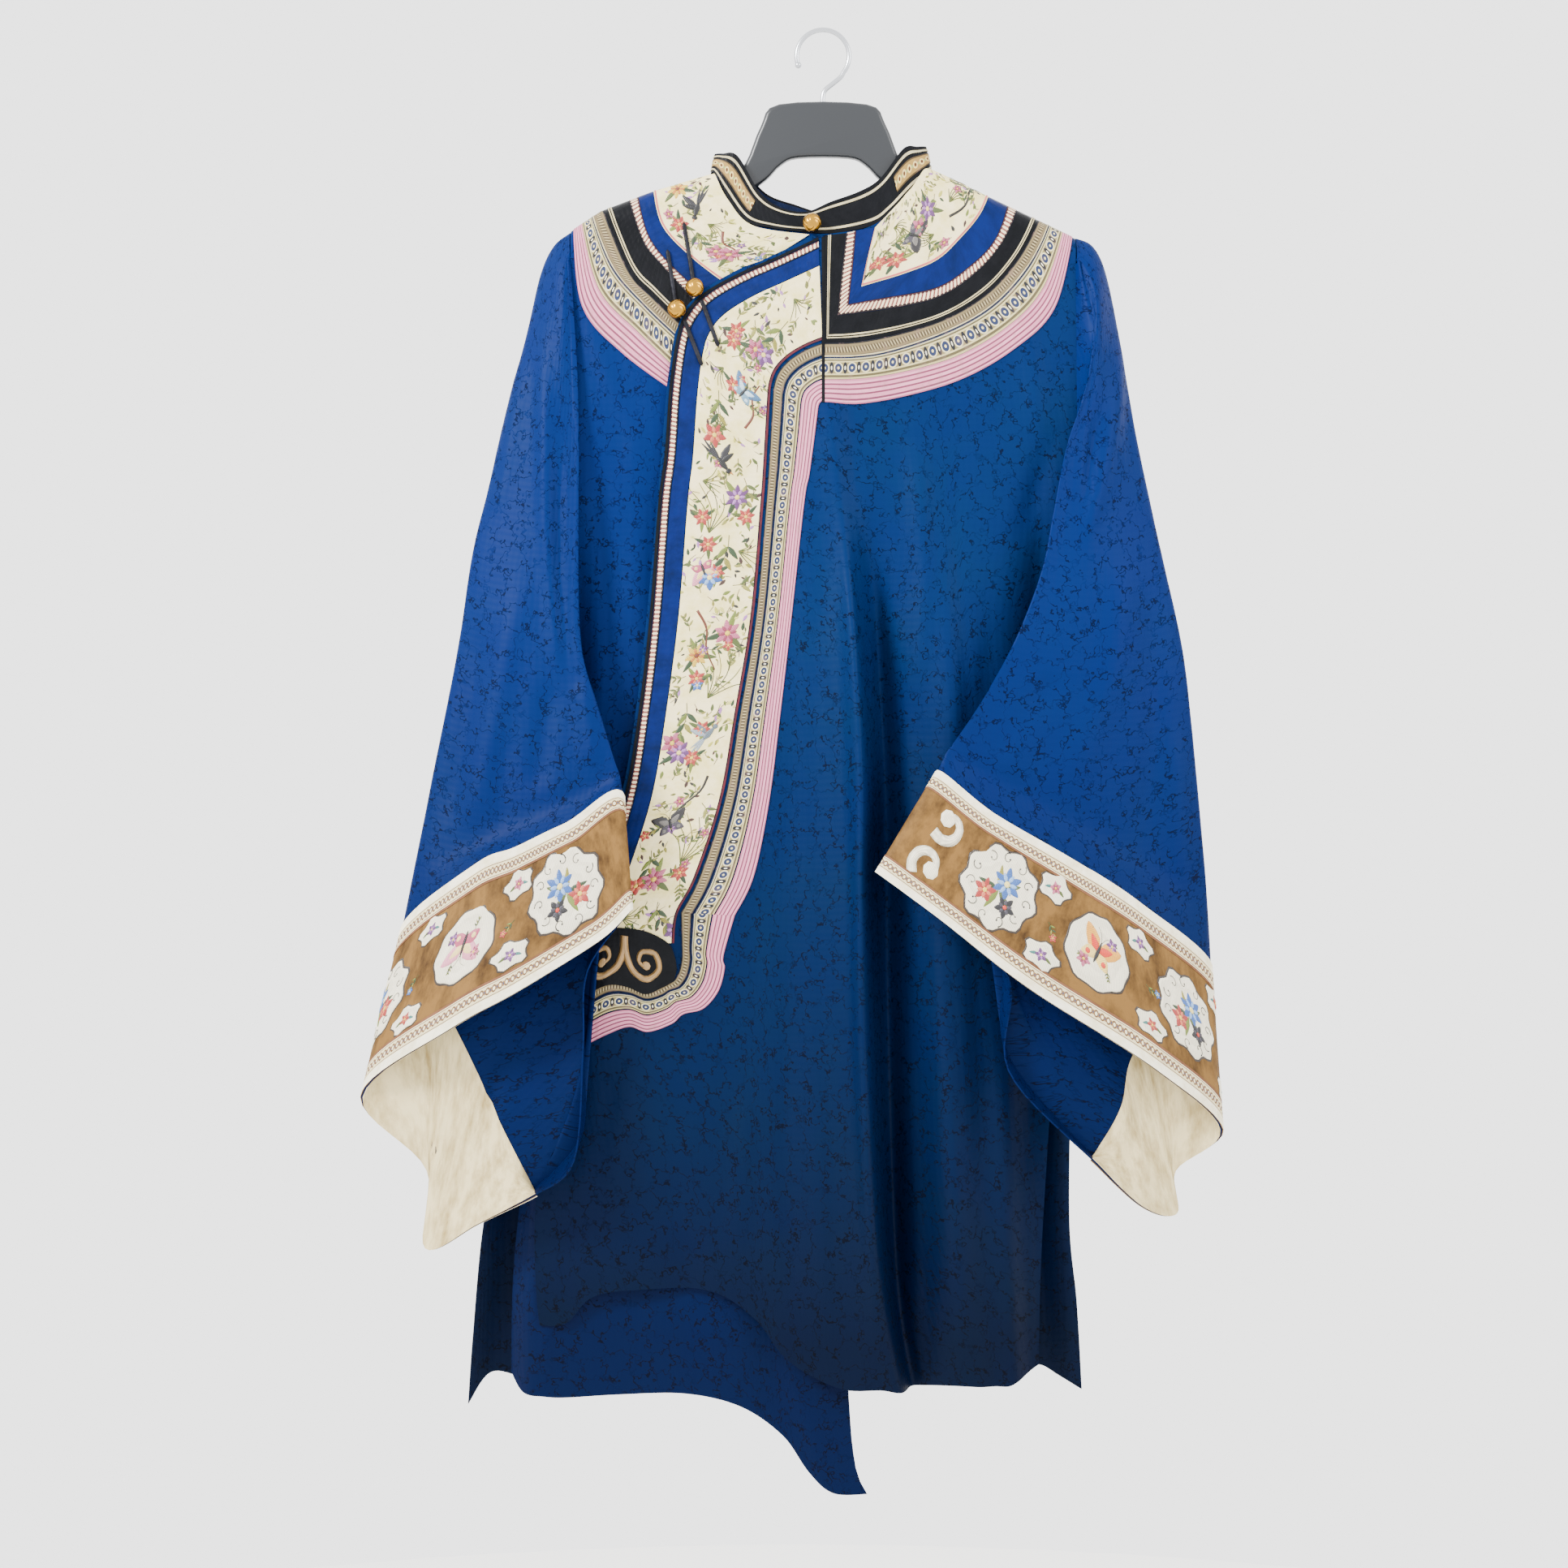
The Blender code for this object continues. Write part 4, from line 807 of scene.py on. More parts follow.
trims = {}
print("robe: yoke ribbons")
yokeGuides = {}
for index, ribbon in enumerate(yokeOrder):
    outer = yokeRight[index]
    inner = yokeRight[index - 1] if index else yokeRightNeck
    corner = yokeCorner if len(outer) == len(yokeRightNeck) else 0
    if len(inner) > len(outer):
        inner = [(outer[0][0], inner[yokeCorner][1])] + inner[yokeCorner + 1:]
    places = [corner + p for p in crowdEnd(56, len(outer) - 1 - corner)]
    if corner:
        places = [0, 0.4, 0.8, 1.2, 1.6] + places
    yokeGuides["Right", ribbon] = (overlapSkin, inner, outer, places, corner)
    inner = yokeLeft[index - 1] if index else yokeLeftNeck
    places = [3 - p for p in reversed(crowdEnd(56, 3))]
    yokeGuides["Left", ribbon] = (underSkin, inner, yokeLeft[index], places, 0)
    inner = backRing(index - 1) if index else backNeck
    yokeGuides["Back", ribbon] = (backSkin, inner, backRing(index), crowdBoth(110, len(backNeck) - 1), 0)

finishOf = {"cream": "creamSilk", "blue": "blueBias", "check": "checkRibbon", "black": "blackSatin",
            "tan": "tanRibbon", "figured": "figuredRibbon", "pink": "pinkRibbon"}
# thin corded lines that lie on the yoke ribbons: ribbon, from, to, finish
yokeLines = [("cream", 0.965, 0.985, "roseThread"), ("black", 0.70, 0.755, "creamThread"),
             ("black", 0.80, 0.84, "creamThread"), ("tan", 0.90, 1.0, "creamThread")]
for (where, ribbon), (skin, inner, outer, places, corner) in yokeGuides.items():
    columns = {"cream": 14, "black": 8, "figured": 8, "pink": 8}.get(ribbon, 4)
    piece = makeStrip("yoke" + where + ribbon.title(), finishOf[ribbon], skin, inner, outer, places,
                      -0.05 if ribbon == "cream" else 0.0, 1.0, columns, ribbonWidth[ribbon], ribbonForm["lift"], ribbonForm["wall"], corner)
    trims["yoke_%s_%s" % (where.lower(), ribbon)] = [piece]
for number, (ribbon, low, high, finish) in enumerate(yokeLines):
    for where in ("Right", "Left", "Back"):
        skin, inner, outer, places, corner = yokeGuides[where, ribbon]
        piece = makeStrip("yokeLine%s%d" % (where, number + 1), finish, skin, inner, outer, places, low, high, 2, 1,
                          ribbonForm["lift"] + ribbonForm["lineLift"], ribbonForm["lineWall"], corner, gap=0)
        trims["yoke_%s_%s" % (where.lower(), ribbon)].append(piece)


def closingLine(place):
    if place > 1:
        return [mixed(line, pink, place - 1) for _, line, pink in closingGuide]
    pairs = [(edge, line) for edge, line, _ in closingGuide] + [closingTail]
    spots = []
    for edge, line in pairs:
        inset = closingInset / math.dist(edge, line)
        spots.append(mixed(edge, line, inset + (1 - inset) * place))
    return spots


print("robe: closing and lobed head")
for ribbon, finish, low, high in closingStrips:
    inner, outer = closingLine(low), closingLine(high)
    columns = {"embroidered": 16, "blue": 6, "figured": 8, "pink": 8}.get(ribbon, 4)
    trims["closing_" + ribbon] = [makeStrip(
        "closing" + ribbon.title(), finish, overlapSkin, inner, outer, evenly(170, len(inner) - 1), 0.0, 1.0, columns,
        ribbonWidth[ribbon], ribbonForm["lift"], ribbonForm["wall"])]
for ribbon, finish, low, high in headStrips:
    inner = [mixed(a, b, low) for a, b in zip(headEdge, headScallops)]
    outer = [mixed(a, b, high) for a, b in zip(headEdge, headScallops)]
    trims["head_" + ribbon] = [makeStrip(
        "head" + ribbon.title(), finish, overlapSkin, inner, outer, evenly(90, len(headEdge) - 1), 0.0, 1.0, 6,
        ribbonWidth[ribbon], ribbonForm["lift"], ribbonForm["wall"])]
trims["closing_head"] = [makeStrip(
    "closingHead", "blackSatin", overlapSkin, headTop, headLow, evenly(50, len(headTop) - 1), 0.0, 1.0, 12, 44,
    ribbonForm["headLift"], ribbonForm["wall"])]

seamLine = [(-1.3, -168), (-1.3, -250), (-1.3, -300)], [(1.1, -168), (1.1, -250), (1.1, -300)]
trims["closing_piping"].append(makeStrip("seamPiping", "blackSatin", overlapSkin, *seamLine, evenly(40, 2), 0.0, 1.0,
                                         3, 2, 0.35, 0.7, gap=0))

# Collar: a standing band round the neck, in rows from its sewn edge up to its brim

collarBase = [(-89, 0, -114), (-86.5, -8, -115), (-78, -13, -132.5), (-62, -17, -154), (-42, -19, -160),
              (-18, -20, -163), (8, -20, -164.5), (40, -19, -158), (54, -17, -147.5), (70, -13, -131),
              (84.5, -8, -116), (86, 0, -110.5), (84.5, 9, -110.5), (75, 14, -129), (60, 18, -146), (34, 20, -160),
              (0, 21, -165), (-32, 20, -161), (-62, 18, -149), (-78, 14, -132), (-86.5, 9, -115)]
collarTop = [(-86, 0, -98), (-80, -6, -98.5), (-68, -9, -101), (-51, -14, -130), (-35, -17, -143),
             (-14, -18, -147), (6, -18, -139), (30, -17, -130), (46, -14, -119), (64, -9, -95),
             (75, -6, -93), (82, 0, -92), (76, 7, -94), (66, 10, -98), (44, 14, -124), (24, 17, -139),
             (0, 18, -141), (-22, 17, -135), (-46, 14, -126), (-68, 9, -103), (-80, 7, -99.5)]
collarForm = {"rise": 0.2, "wall": 2.0, "steps": 10, "rows": 10, "lineWall": 0.7, "lineLift": 0.2}


def collarRow(share, out=0.0):
    base = [(x, y, z + collarForm["rise"]) for x, y, z in collarBase]
    keys = [mixed(a, b, share) for a, b in zip(base, collarTop)]
    keys = [keys[-1]] + keys + keys[:2]
    row = [curveAt(keys[:], 1 + k / collarForm["steps"]) for k in range(len(collarTop) * collarForm["steps"] + 1)]
    if out:
        # moved away from the neck's middle line, in plan
        row = [(x + out * x / math.hypot(x, 4 * y), y + out * 4 * y / math.hypot(x, 4 * y), z) for x, y, z in row]
    return row


print("robe: collar")
rows = [collarRow(k / collarForm["rows"]) for k in range(collarForm["rows"] + 1)]
collar = gridMesh("collar", rows, flatUv(rows), joinedFrom=0)
lean = sum(p.normal.dot(Vector((p.center.x, p.center.y * 4, 0))) for p in collar.data.polygons)
if lean < 0:
    collar.data.flip_normals()
collar["flatArea"] = flatArea(collar)
thicken(collar, collarForm["wall"])
collar["finish"] = "blackSatin"
trims["collar"] = [collar]

# Frogs: straight black cords, round, flattened where they lie on the cloth

frogs = {
    "upper_button_side": ("frontUnder", (-111, -155), (-102.5, -207)),
    "lower_button_side": ("frontUnder", (-124, -177), (-116.5, -224)),
    "upper_loop_side": ("frontOverlap", (-97, -217.5), (-83, -256)),
    "lower_loop_side": ("frontOverlap", (-110.5, -233.5), (-96, -271)),
}
frogForm = {"wide": 3.4, "thick": 2.2, "lift": 1.25, "sides": 12, "steps": 26, "twist": 1.1}


def makeFrog(name, panel, start, end):
    skin = underSkin if panel == "frontUnder" else overlapSkin
    way = Vector(end) - Vector(start)
    length = way.length
    across = Vector((-way.y, way.x)).normalized()
    points, metres = [], []
    for k in range(frogForm["steps"] + 1):
        t = k / frogForm["steps"]
        middle = Vector(start) + way * t
        taper = ease(min(t, 1 - t) * 14 + 0.25)
        row, line = [], []
        for i in range(frogForm["sides"] + 1):
            turn = 2 * math.pi * i / frogForm["sides"]
            braid = 1 + 0.06 * math.sin(2 * turn + t * length / frogForm["twist"] * 2)
            spot = middle + across * (math.cos(turn) * frogForm["wide"] / 2 * taper * braid)
            x, y, z = skin.point(spot.x, spot.y, frogForm["lift"] + frogForm["thick"] / 2)
            row.append((x, y - math.sin(turn) * frogForm["thick"] / 2 * taper * braid, z))
            line.append((t * length * mm, i / frogForm["sides"] * 8 * mm))
        points.append(row)
        metres.append(line)
    piece = gridMesh("frog" + name.title().replace("_", ""), points, metres, joinedFrom=0)
    net = bmesh.new()
    net.from_mesh(piece.data)
    bmesh.ops.holes_fill(net, edges=[e for e in net.edges if e.is_boundary])
    bmesh.ops.recalc_face_normals(net, faces=net.faces)
    net.to_mesh(piece.data)
    net.free()
    piece["finish"] = "blackCord"
    return piece


print("robe: frogs and buttons")
for name, (panel, start, end) in frogs.items():
    trims["frog_" + name] = [makeFrog(name, panel, start, end)]

buttons = {"neck": (-9, -157, -28.3), "upper": (-102, -209, None), "lower": (-116, -226, None)}
buttonForm = {"radius": 7.4, "flat": 0.9, "grooves": 2, "depth": 0.8, "lift": 3.85}


def makeButton(name, x, z, y):
    if y is None:
        y = underSkin.point(x, z, buttonForm["lift"])[1] - buttonForm["radius"] * buttonForm["flat"]
    bpy.ops.object.select_all(action="DESELECT")
    bpy.ops.mesh.primitive_uv_sphere_add(segments=56, ring_count=36, radius=buttonForm["radius"] * mm)
    ball = bpy.context.object
    ball.name = "button" + name.title()
    for v in ball.data.vertices:
        # chased swirls that run from the crown to the back
        a = math.atan2(v.co.z, v.co.x)
        polar = math.acos(max(-1, min(1, -v.co.y / (v.co.length + 1e-9))))
        swirl = math.sin(buttonForm["grooves"] * a + 3.2 * polar)
        cut = max(0.0, 1 - abs(swirl) * 2.6) * ease(polar / 0.5) * ease((math.pi - polar) / 0.8)
        v.co = v.co * (1 - cut * buttonForm["depth"] / buttonForm["radius"])
        v.co.y *= buttonForm["flat"]
        v.co = v.co + Vector((x, y, z)) * mm
    ball.data.shade_smooth()
    ball["finish"] = "giltBrass"
    return ball


for name, (x, z, y) in buttons.items():
    trims["button_" + name] = [makeButton(name, x, z, y)]

# Hanger: its outline is filled, pushed out to its thickness and its rims rounded

hangerOutline = [
    (-35, -58), (35, -58), (50, -74), (62, -103), (76, -117.5), (92, -122), (134, -138.5), (190, -164),
    (203, -172), (205, -180), (196, -188), (134, -163), (90, -142), (62, -129), (46, -119), (34, -107),
    (20, -101), (-20, -101), (-34, -107), (-46, -119), (-64, -130), (-92, -143), (-140, -160), (-194, -186),
    (-204, -180), (-203, -168), (-178, -149.5), (-139, -135), (-92, -122.5), (-76, -118), (-62, -105), (-50, -76),
]
hangerForm = {"thick": 12.0, "rim": 3.6, "segments": 5, "steps": 4}


def makeHanger():
    bpy.ops.object.select_all(action="DESELECT")
    bpy.ops.mesh.primitive_plane_add(size=0.01)
    piece = bpy.context.object
    piece.name = "hangerBody"
    loop = hangerOutline[-1:] + hangerOutline + hangerOutline[:2]
    line = [curveAt(loop, 1 + k / hangerForm["steps"]) for k in range(len(hangerOutline) * hangerForm["steps"])]
    mesh = bpy.data.meshes.new("hangerBody")
    mesh.from_pydata([(x * mm, -hangerForm["thick"] / 2 * mm, z * mm) for x, z in line],
                     [(i, (i + 1) % len(line)) for i in range(len(line))], [])
    piece.data = mesh
    bpy.ops.object.mode_set(mode="EDIT")
    bpy.ops.mesh.select_all(action="SELECT")
    bpy.ops.mesh.edge_face_add()
    bpy.ops.mesh.extrude_region_move(TRANSFORM_OT_translate={"value": (0, hangerForm["thick"] * mm, 0)})
    bpy.ops.mesh.select_all(action="SELECT")
    bpy.ops.mesh.normals_make_consistent(inside=False)
    bpy.ops.object.mode_set(mode="OBJECT")
    rim = piece.modifiers.new("rim", "BEVEL")
    rim.width = hangerForm["rim"] * mm
    rim.segments = hangerForm["segments"]
    rim.limit_method = "ANGLE"
    rim.angle_limit = math.radians(60)
    bpy.ops.object.modifier_apply(modifier=rim.name)
    bpy.ops.object.shade_smooth_by_angle(angle=math.radians(50))
    piece["finish"] = "hangerPlastic"
    return piece


print("robe: hanger and hook")
trims["hanger"] = [makeHanger()]

hookForm = {"stem": [(0, -57.6), (0, -51), (2, -46), (8, -41), (14, -36)], "arc": (-38, 200, 60), "radius": 21.0,
            "wire": 2.0}


def makeHook():
    first, last, steps = hookForm["arc"]
    middle = -hookForm["radius"] + hookForm["wire"]
    ring = []
    for k in range(steps + 1):
        turn = math.radians(first + (last - first) * k / steps)
        ring.append((hookForm["radius"] * math.cos(turn), middle + hookForm["radius"] * math.sin(turn)))
    stem = hookForm["stem"]
    route = [curveAt(stem + ring[:2], k / 5) for k in range(5 * len(stem))] + ring
    bpy.ops.object.select_all(action="DESELECT")
    bpy.ops.curve.primitive_bezier_curve_add()
    piece = bpy.context.object
    piece.name = "hookWire"
    piece.data.splines.clear()
    line = piece.data.splines.new("POLY")
    line.points.add(len(route) - 1)
    for place, (x, z) in zip(line.points, route):
        place.co = (x * mm, 0, z * mm, 1)
    piece.data.bevel_depth = hookForm["wire"] * mm
    piece.data.bevel_resolution = 6
    piece.data.use_fill_caps = True
    bpy.ops.object.convert(target="MESH")
    bpy.ops.object.shade_smooth_by_angle(angle=math.radians(60))
    piece = bpy.context.object
    bpy.ops.mesh.primitive_uv_sphere_add(segments=24, ring_count=16, radius=(hookForm["wire"] + 0.7) * mm,
                                         location=(route[-1][0] * mm, 0, route[-1][1] * mm))
    tip = bpy.context.object
    bpy.ops.object.shade_smooth()
    piece.select_set(True)
    bpy.context.view_layer.objects.active = piece
    bpy.ops.object.join()
    piece["finish"] = "steelWire"
    return piece


trims["hook"] = [makeHook()]

# Embroidery: low domed patches of thread, laid on a band by their distance along it and across it, in mm

class Band:
    """Points and normals in rows along a band; spot() reads them by millimetres from its middle line."""

    def __init__(self, table, side=None):
        self.table = [[Vector(p) for p in row] for row in table]
        middle = len(table[0]) // 2
        self.along = [0.0]
        for a, b in zip(self.table, self.table[1:]):
            self.along.append(self.along[-1] + (b[middle] - a[middle]).length)
        self.length = self.along[-1]
        self.halves = [(row[-1] - row[0]).length / 2 for row in self.table]
        self.side = side

    def half(self, s):
        j = self.row(s)[0]
        return self.halves[j]

    def row(self, s):
        s = min(max(s, 0.0), self.length - 0.001)
        low, high = 0, len(self.along) - 1
        while high - low > 1:
            middle = (low + high) // 2
            if self.along[middle] <= s:
                low = middle
            else:
                high = middle
        return low, (s - self.along[low]) / (self.along[high] - self.along[low])

    def spot(self, s, c, lift):
        j, fj = self.row(s)
        half = self.halves[j]
        place = min(max((c / half + 1) / 2, 0.0), 1.0) * (len(self.table[0]) - 1)
        i = min(int(place), len(self.table[0]) - 2)
        fi = place - i
        a, b = self.table[j][i].lerp(self.table[j][i + 1], fi), self.table[j + 1][i].lerp(self.table[j + 1][i + 1], fi)
        normal = (self.table[j][i + 1] - self.table[j][i]).cross(self.table[j + 1][i] - self.table[j][i]).normalized()
        return a.lerp(b, fj) + normal * (lift * self.side)


class Stitching:
    """Collects thread patches of many colours and makes them one mesh."""

    def __init__(self, band, lift):
        self.band, self.lift = band, lift
        self.points, self.faces, self.shades, self.grain = [], [], [], []

    def add(self, outline, shade, height, turn=0.0):
        # a patch with a rounded top, closed underneath; turn is the direction of its stitches
        n = len(outline)
        cs = sum(p[0] for p in outline) / n
        cc = sum(p[1] for p in outline) / n
        first = len(self.points)
        rings = ((1.0, -0.2), (0.96, 0.45), (0.6, 0.9))
        if n > 18:
            rings = ((1.0, -0.2), (0.98, 0.7), (0.94, 1.0)) + tuple((0.1 * k, 1.0) for k in range(8, 0, -1))
        for size, share in rings:
            for s, c in outline:
                self.put(cs + (s - cs) * size, cc + (c - cc) * size, height * share, cs, cc, turn)
        self.put(cs, cc, height, cs, cc, turn)
        top = len(self.points) - 1
        last = len(rings) - 1
        for ring in range(last):
            for k in range(n):
                a, b = first + ring * n + k, first + ring * n + (k + 1) % n
                self.face((a, b, b + n, a + n), shade)
        for k in range(n):
            self.face((first + last * n + k, first + last * n + (k + 1) % n, top), shade)
        self.face(tuple(first + k for k in reversed(range(n))), shade)

    def put(self, s, c, height, cs, cc, turn):
        self.points.append(self.band.spot(s, c, self.lift + height))
        ds, dc = s - cs, c - cc
        self.grain.append(((ds * math.cos(turn) + dc * math.sin(turn)) * mm,
                           (dc * math.cos(turn) - ds * math.sin(turn)) * mm))

    def face(self, corners, shade):
        self.faces.append(corners)
        self.shades.append(shade)

    def finished(self, name):
        mesh = bpy.data.meshes.new(name)
        mesh.from_pydata([p * mm for p in self.points], [], self.faces)
        colours = mesh.color_attributes.new("thread", "FLOAT_COLOR", "CORNER")
        layer = mesh.uv_layers.new(name="UVMap")
        tones = [0.92 + 0.16 * ((k * 37) % 11) / 10 for k in range(11)]
        for number, (polygon, shade) in enumerate(zip(mesh.polygons, self.shades)):
            tone = tones[(number // 7) % 11]
            # dyed floss is deeper than its flat colour, white floss is not
            red, green, blue = (c ** 1.4 for c in linear(shade)[:3])
            for loop in polygon.loop_indices:
                colours.data[loop].color = (red * tone, green * tone, blue * tone, 1)
                layer.data[loop].uv = self.grain[mesh.loops[loop].vertex_index]
            polygon.use_smooth = True
        net = bmesh.new()
        net.from_mesh(mesh)
        bmesh.ops.recalc_face_normals(net, faces=net.faces)
        net.to_mesh(mesh)
        net.free()
        piece = bpy.data.objects.new(name, mesh)
        bpy.context.scene.collection.objects.link(piece)
        piece["finish"] = "silkThread"
        return piece

    # motifs: s and c place them, turn is in radians, sizes in mm

    def leaf(self, s, c, turn, length, width, shade, height=0.35):
        outline = []
        for k in range(10):
            a = 2 * math.pi * k / 10
            p = (1 + math.cos(a)) / 2
            q = math.sin(a) * width / 2 * (0.55 + 0.45 * math.sin(math.pi * min(p * 1.25, 1)))
            outline.append((s + p * length * math.cos(turn) - q * math.sin(turn),
                            c + p * length * math.sin(turn) + q * math.cos(turn)))
        self.add(outline, shade, height, turn)

    def disc(self, s, c, radius, shade, height=0.4, count=8):
        self.add([(s + radius * math.cos(2 * math.pi * k / count), c + radius * math.sin(2 * math.pi * k / count))
                  for k in range(count)], shade, height)

    def flower(self, s, c, radius, petals, shades, turn=0.0):
        for ring, size in enumerate((1.0, 0.62)[:len(shades) - 1]):
            for k in range(petals):
                a = turn + 2 * math.pi * (k + 0.5 * ring) / petals
                self.leaf(s + 0.14 * radius * math.cos(a), c + 0.14 * radius * math.sin(a), a, radius * size * 0.86,
                          radius * size * 2.3 / petals * 1.25, shades[ring], 0.4 + 0.22 * ring)
        self.disc(s, c, radius * 0.2, shades[-1], 0.8)

    def stem(self, line, width, shade, height=0.35):
        route = smoothLine(line, 5)
        left, right = [], []
        for k, (s, c) in enumerate(route):
            a, b = route[max(k - 1, 0)], route[min(k + 1, len(route) - 1)]
            run = math.dist(a, b) or 1.0
            half = width / 2 * (1 - 0.55 * k / len(route))
            ns, nc = -(b[1] - a[1]) / run * half, (b[0] - a[0]) / run * half
            left.append((s + ns, c + nc))
            right.append((s - ns, c - nc))
        first = len(self.points)
        for (s, c), one, two in zip(route, left, right):
            for (a, b), up in ((one, -0.1), ((s, c), height), (two, -0.1)):
                self.put(a, b, up, s, c, 0.0)
        for k in range(len(route) - 1):
            a = first + 3 * k
            self.face((a, a + 1, a + 4, a + 3), shade)
            self.face((a + 1, a + 2, a + 5, a + 4), shade)
            self.face((a + 2, a, a + 3, a + 5), shade)
        last = first + 3 * (len(route) - 1)
        self.face((first, first + 2, first + 1), shade)
        self.face((last, last + 1, last + 2), shade)

    def spray(self, s, c, turn, size, greens, bloom=None, draw=None):
        # a curved twig with paired leaves, and a bloom at its end
        bend = 0.5 * math.sin(s * 0.7 + c)
        line = []
        for k in range(5):
            t = k / 4
            a = turn + bend * t
            line.append((s + size * t * math.cos(a), c + size * t * math.sin(a)))
        self.stem(line, 0.8, greens[0])
        for k in range(1, 5):
            for way in (-1, 1):
                ps, pc = line[k] if k < 4 else line[3]
                self.leaf(ps, pc, turn + bend * k / 4 + way * (0.75 - 0.05 * k), size * (0.42 - 0.04 * k),
                          size * 0.13, greens[(k + (way > 0)) % len(greens)])
        if bloom:
            self.flower(*line[-1], size * 0.3, 5, bloom, turn)

    def butterfly(self, s, c, turn, size, shades):
        for way in (-1, 1):
            self.leaf(s, c, turn + way * 0.95, size, size * 0.62, shades[0], 0.45)
            self.leaf(s, c, turn + way * 0.95, size * 0.66, size * 0.34, shades[1], 0.7)
            self.leaf(s, c, turn + way * 2.2, size * 0.7, size * 0.5, shades[2], 0.45)
            self.disc(s + size * 0.42 * math.cos(turn + way * 2.2), c + size * 0.42 * math.sin(turn + way * 2.2),
                      size * 0.11, shades[1], 0.8)
            self.stem([(s + size * 0.3 * math.cos(turn), c + size * 0.3 * math.sin(turn)),
                       (s + size * 0.6 * math.cos(turn + way * 0.2), c + size * 0.6 * math.sin(turn + way * 0.2)),
                       (s + size * 0.8 * math.cos(turn + way * 0.45), c + size * 0.8 * math.sin(turn + way * 0.45))],
                      0.5, shades[3])
        self.leaf(s - size * 0.45 * math.cos(turn), c - size * 0.45 * math.sin(turn), turn, size * 0.85, size * 0.15,
                  shades[3], 0.9)

    def bird(self, s, c, turn, size, shades):
        for spread, long in ((0.16, 1.05), (-0.02, 1.15), (-0.2, 0.9)):
            self.leaf(s, c, turn + math.pi + spread, size * long, size * 0.13, shades[1], 0.35)
        self.leaf(s, c, turn + 1.9, size * 0.85, size * 0.3, shades[1], 0.6)
        self.leaf(s + size * 0.1 * math.cos(turn), c, turn + 1.5, size * 0.7, size * 0.26, shades[0], 0.75)
        self.leaf(s - size * 0.25 * math.cos(turn), c - size * 0.25 * math.sin(turn), turn, size * 0.75, size * 0.3,
                  shades[0], 0.7)
        head = (s + size * 0.52 * math.cos(turn), c + size * 0.52 * math.sin(turn))
        self.disc(*head, size * 0.12, shades[0], 0.8)
        self.leaf(*head, turn + 0.15, size * 0.26, size * 0.07, shades[2], 0.6)

    def curl(self, s, c, turn, size, width, shade, way=1, height=0.5):
        line = []
        for k in range(9):
            t = k / 8
            a = turn + way * 4.6 * t
            r = size * (1 - 0.72 * t)
            line.append((s + r * math.cos(a), c + r * math.sin(a)))
        self.stem(line, width, shade, height)
        self.disc(*line[-1], width * 0.62, shade, height)


def stripBand(guide, lowShare, highShare, lift, side):
    skin, inner, outer, places, corner = guide
    shares = [lowShare + (highShare - lowShare) * k / 8 for k in range(9)]
    return Band(stripPoints(skin, inner, outer, places, shares, lift, corner), side)


def ringStrip(name, finish, band, low, high, width, lift, wall, start=0.0, end=1.0, columns=4, step=3.0):
    # a strip laid on a band between two shares of its width
    count = max(int(band.length * (end - start) / step), 4)
    points = []
    for k in range(count + 1):
        s = band.length * (start + (end - start) * k / count)
        half = band.half(s)
        points.append([tuple(band.spot(s, (2 * (low + (high - low) * i / columns) - 1) * half, lift + wall / 2))
                       for i in range(columns + 1)])
    metres = [[(band.length * (start + (end - start) * k / count) * mm, i / columns * width * mm)
               for i in range(columns + 1)] for k in range(count + 1)]
    piece = gridMesh(name, points, metres)
    thicken(piece, wall)
    piece["finish"] = finish
    return piece


greens = ["#66742E", "#87933C", "#3E5A2E", "#A09A44"]
olive = ["#8A8A46", "#A8A55C", "#6E7A3C"]
grounds = greens + olive + ["#5A3A2C", "#3C3A30", "#B98AC0", "#C9C46A", "#D9D48A"]
blooms = [["#C77B94", "#A5476A", "#E4C95A"], ["#7B4A84", "#B98AC0", "#E9D98A"], ["#B4483F", "#D98A6A", "#E8CF6E"],
          ["#4A78B4", "#9DBBE0", "#F0E3A0"], ["#E0C24E", "#C98B3A", "#8A4A2E"]]
wings = [["#3A3538", "#8A8580", "#5B5560", "#1C1C22"], ["#E2A2B4", "#F0D9A0", "#C46A86", "#2A2428"],
         ["#E7B24A", "#D9532F", "#F0D88A", "#1F1B20"], ["#5C86A8", "#C9DDE8", "#87A6B8", "#20242C"]]
feathers = [["#1A181C", "#3A383E", "#C98B3A"], ["#7C8790", "#A9B2B8", "#A8472E"], ["#5A4A48", "#8B7A74", "#C4772E"]]

print("robe: embroidery")
draw = random.Random(11)


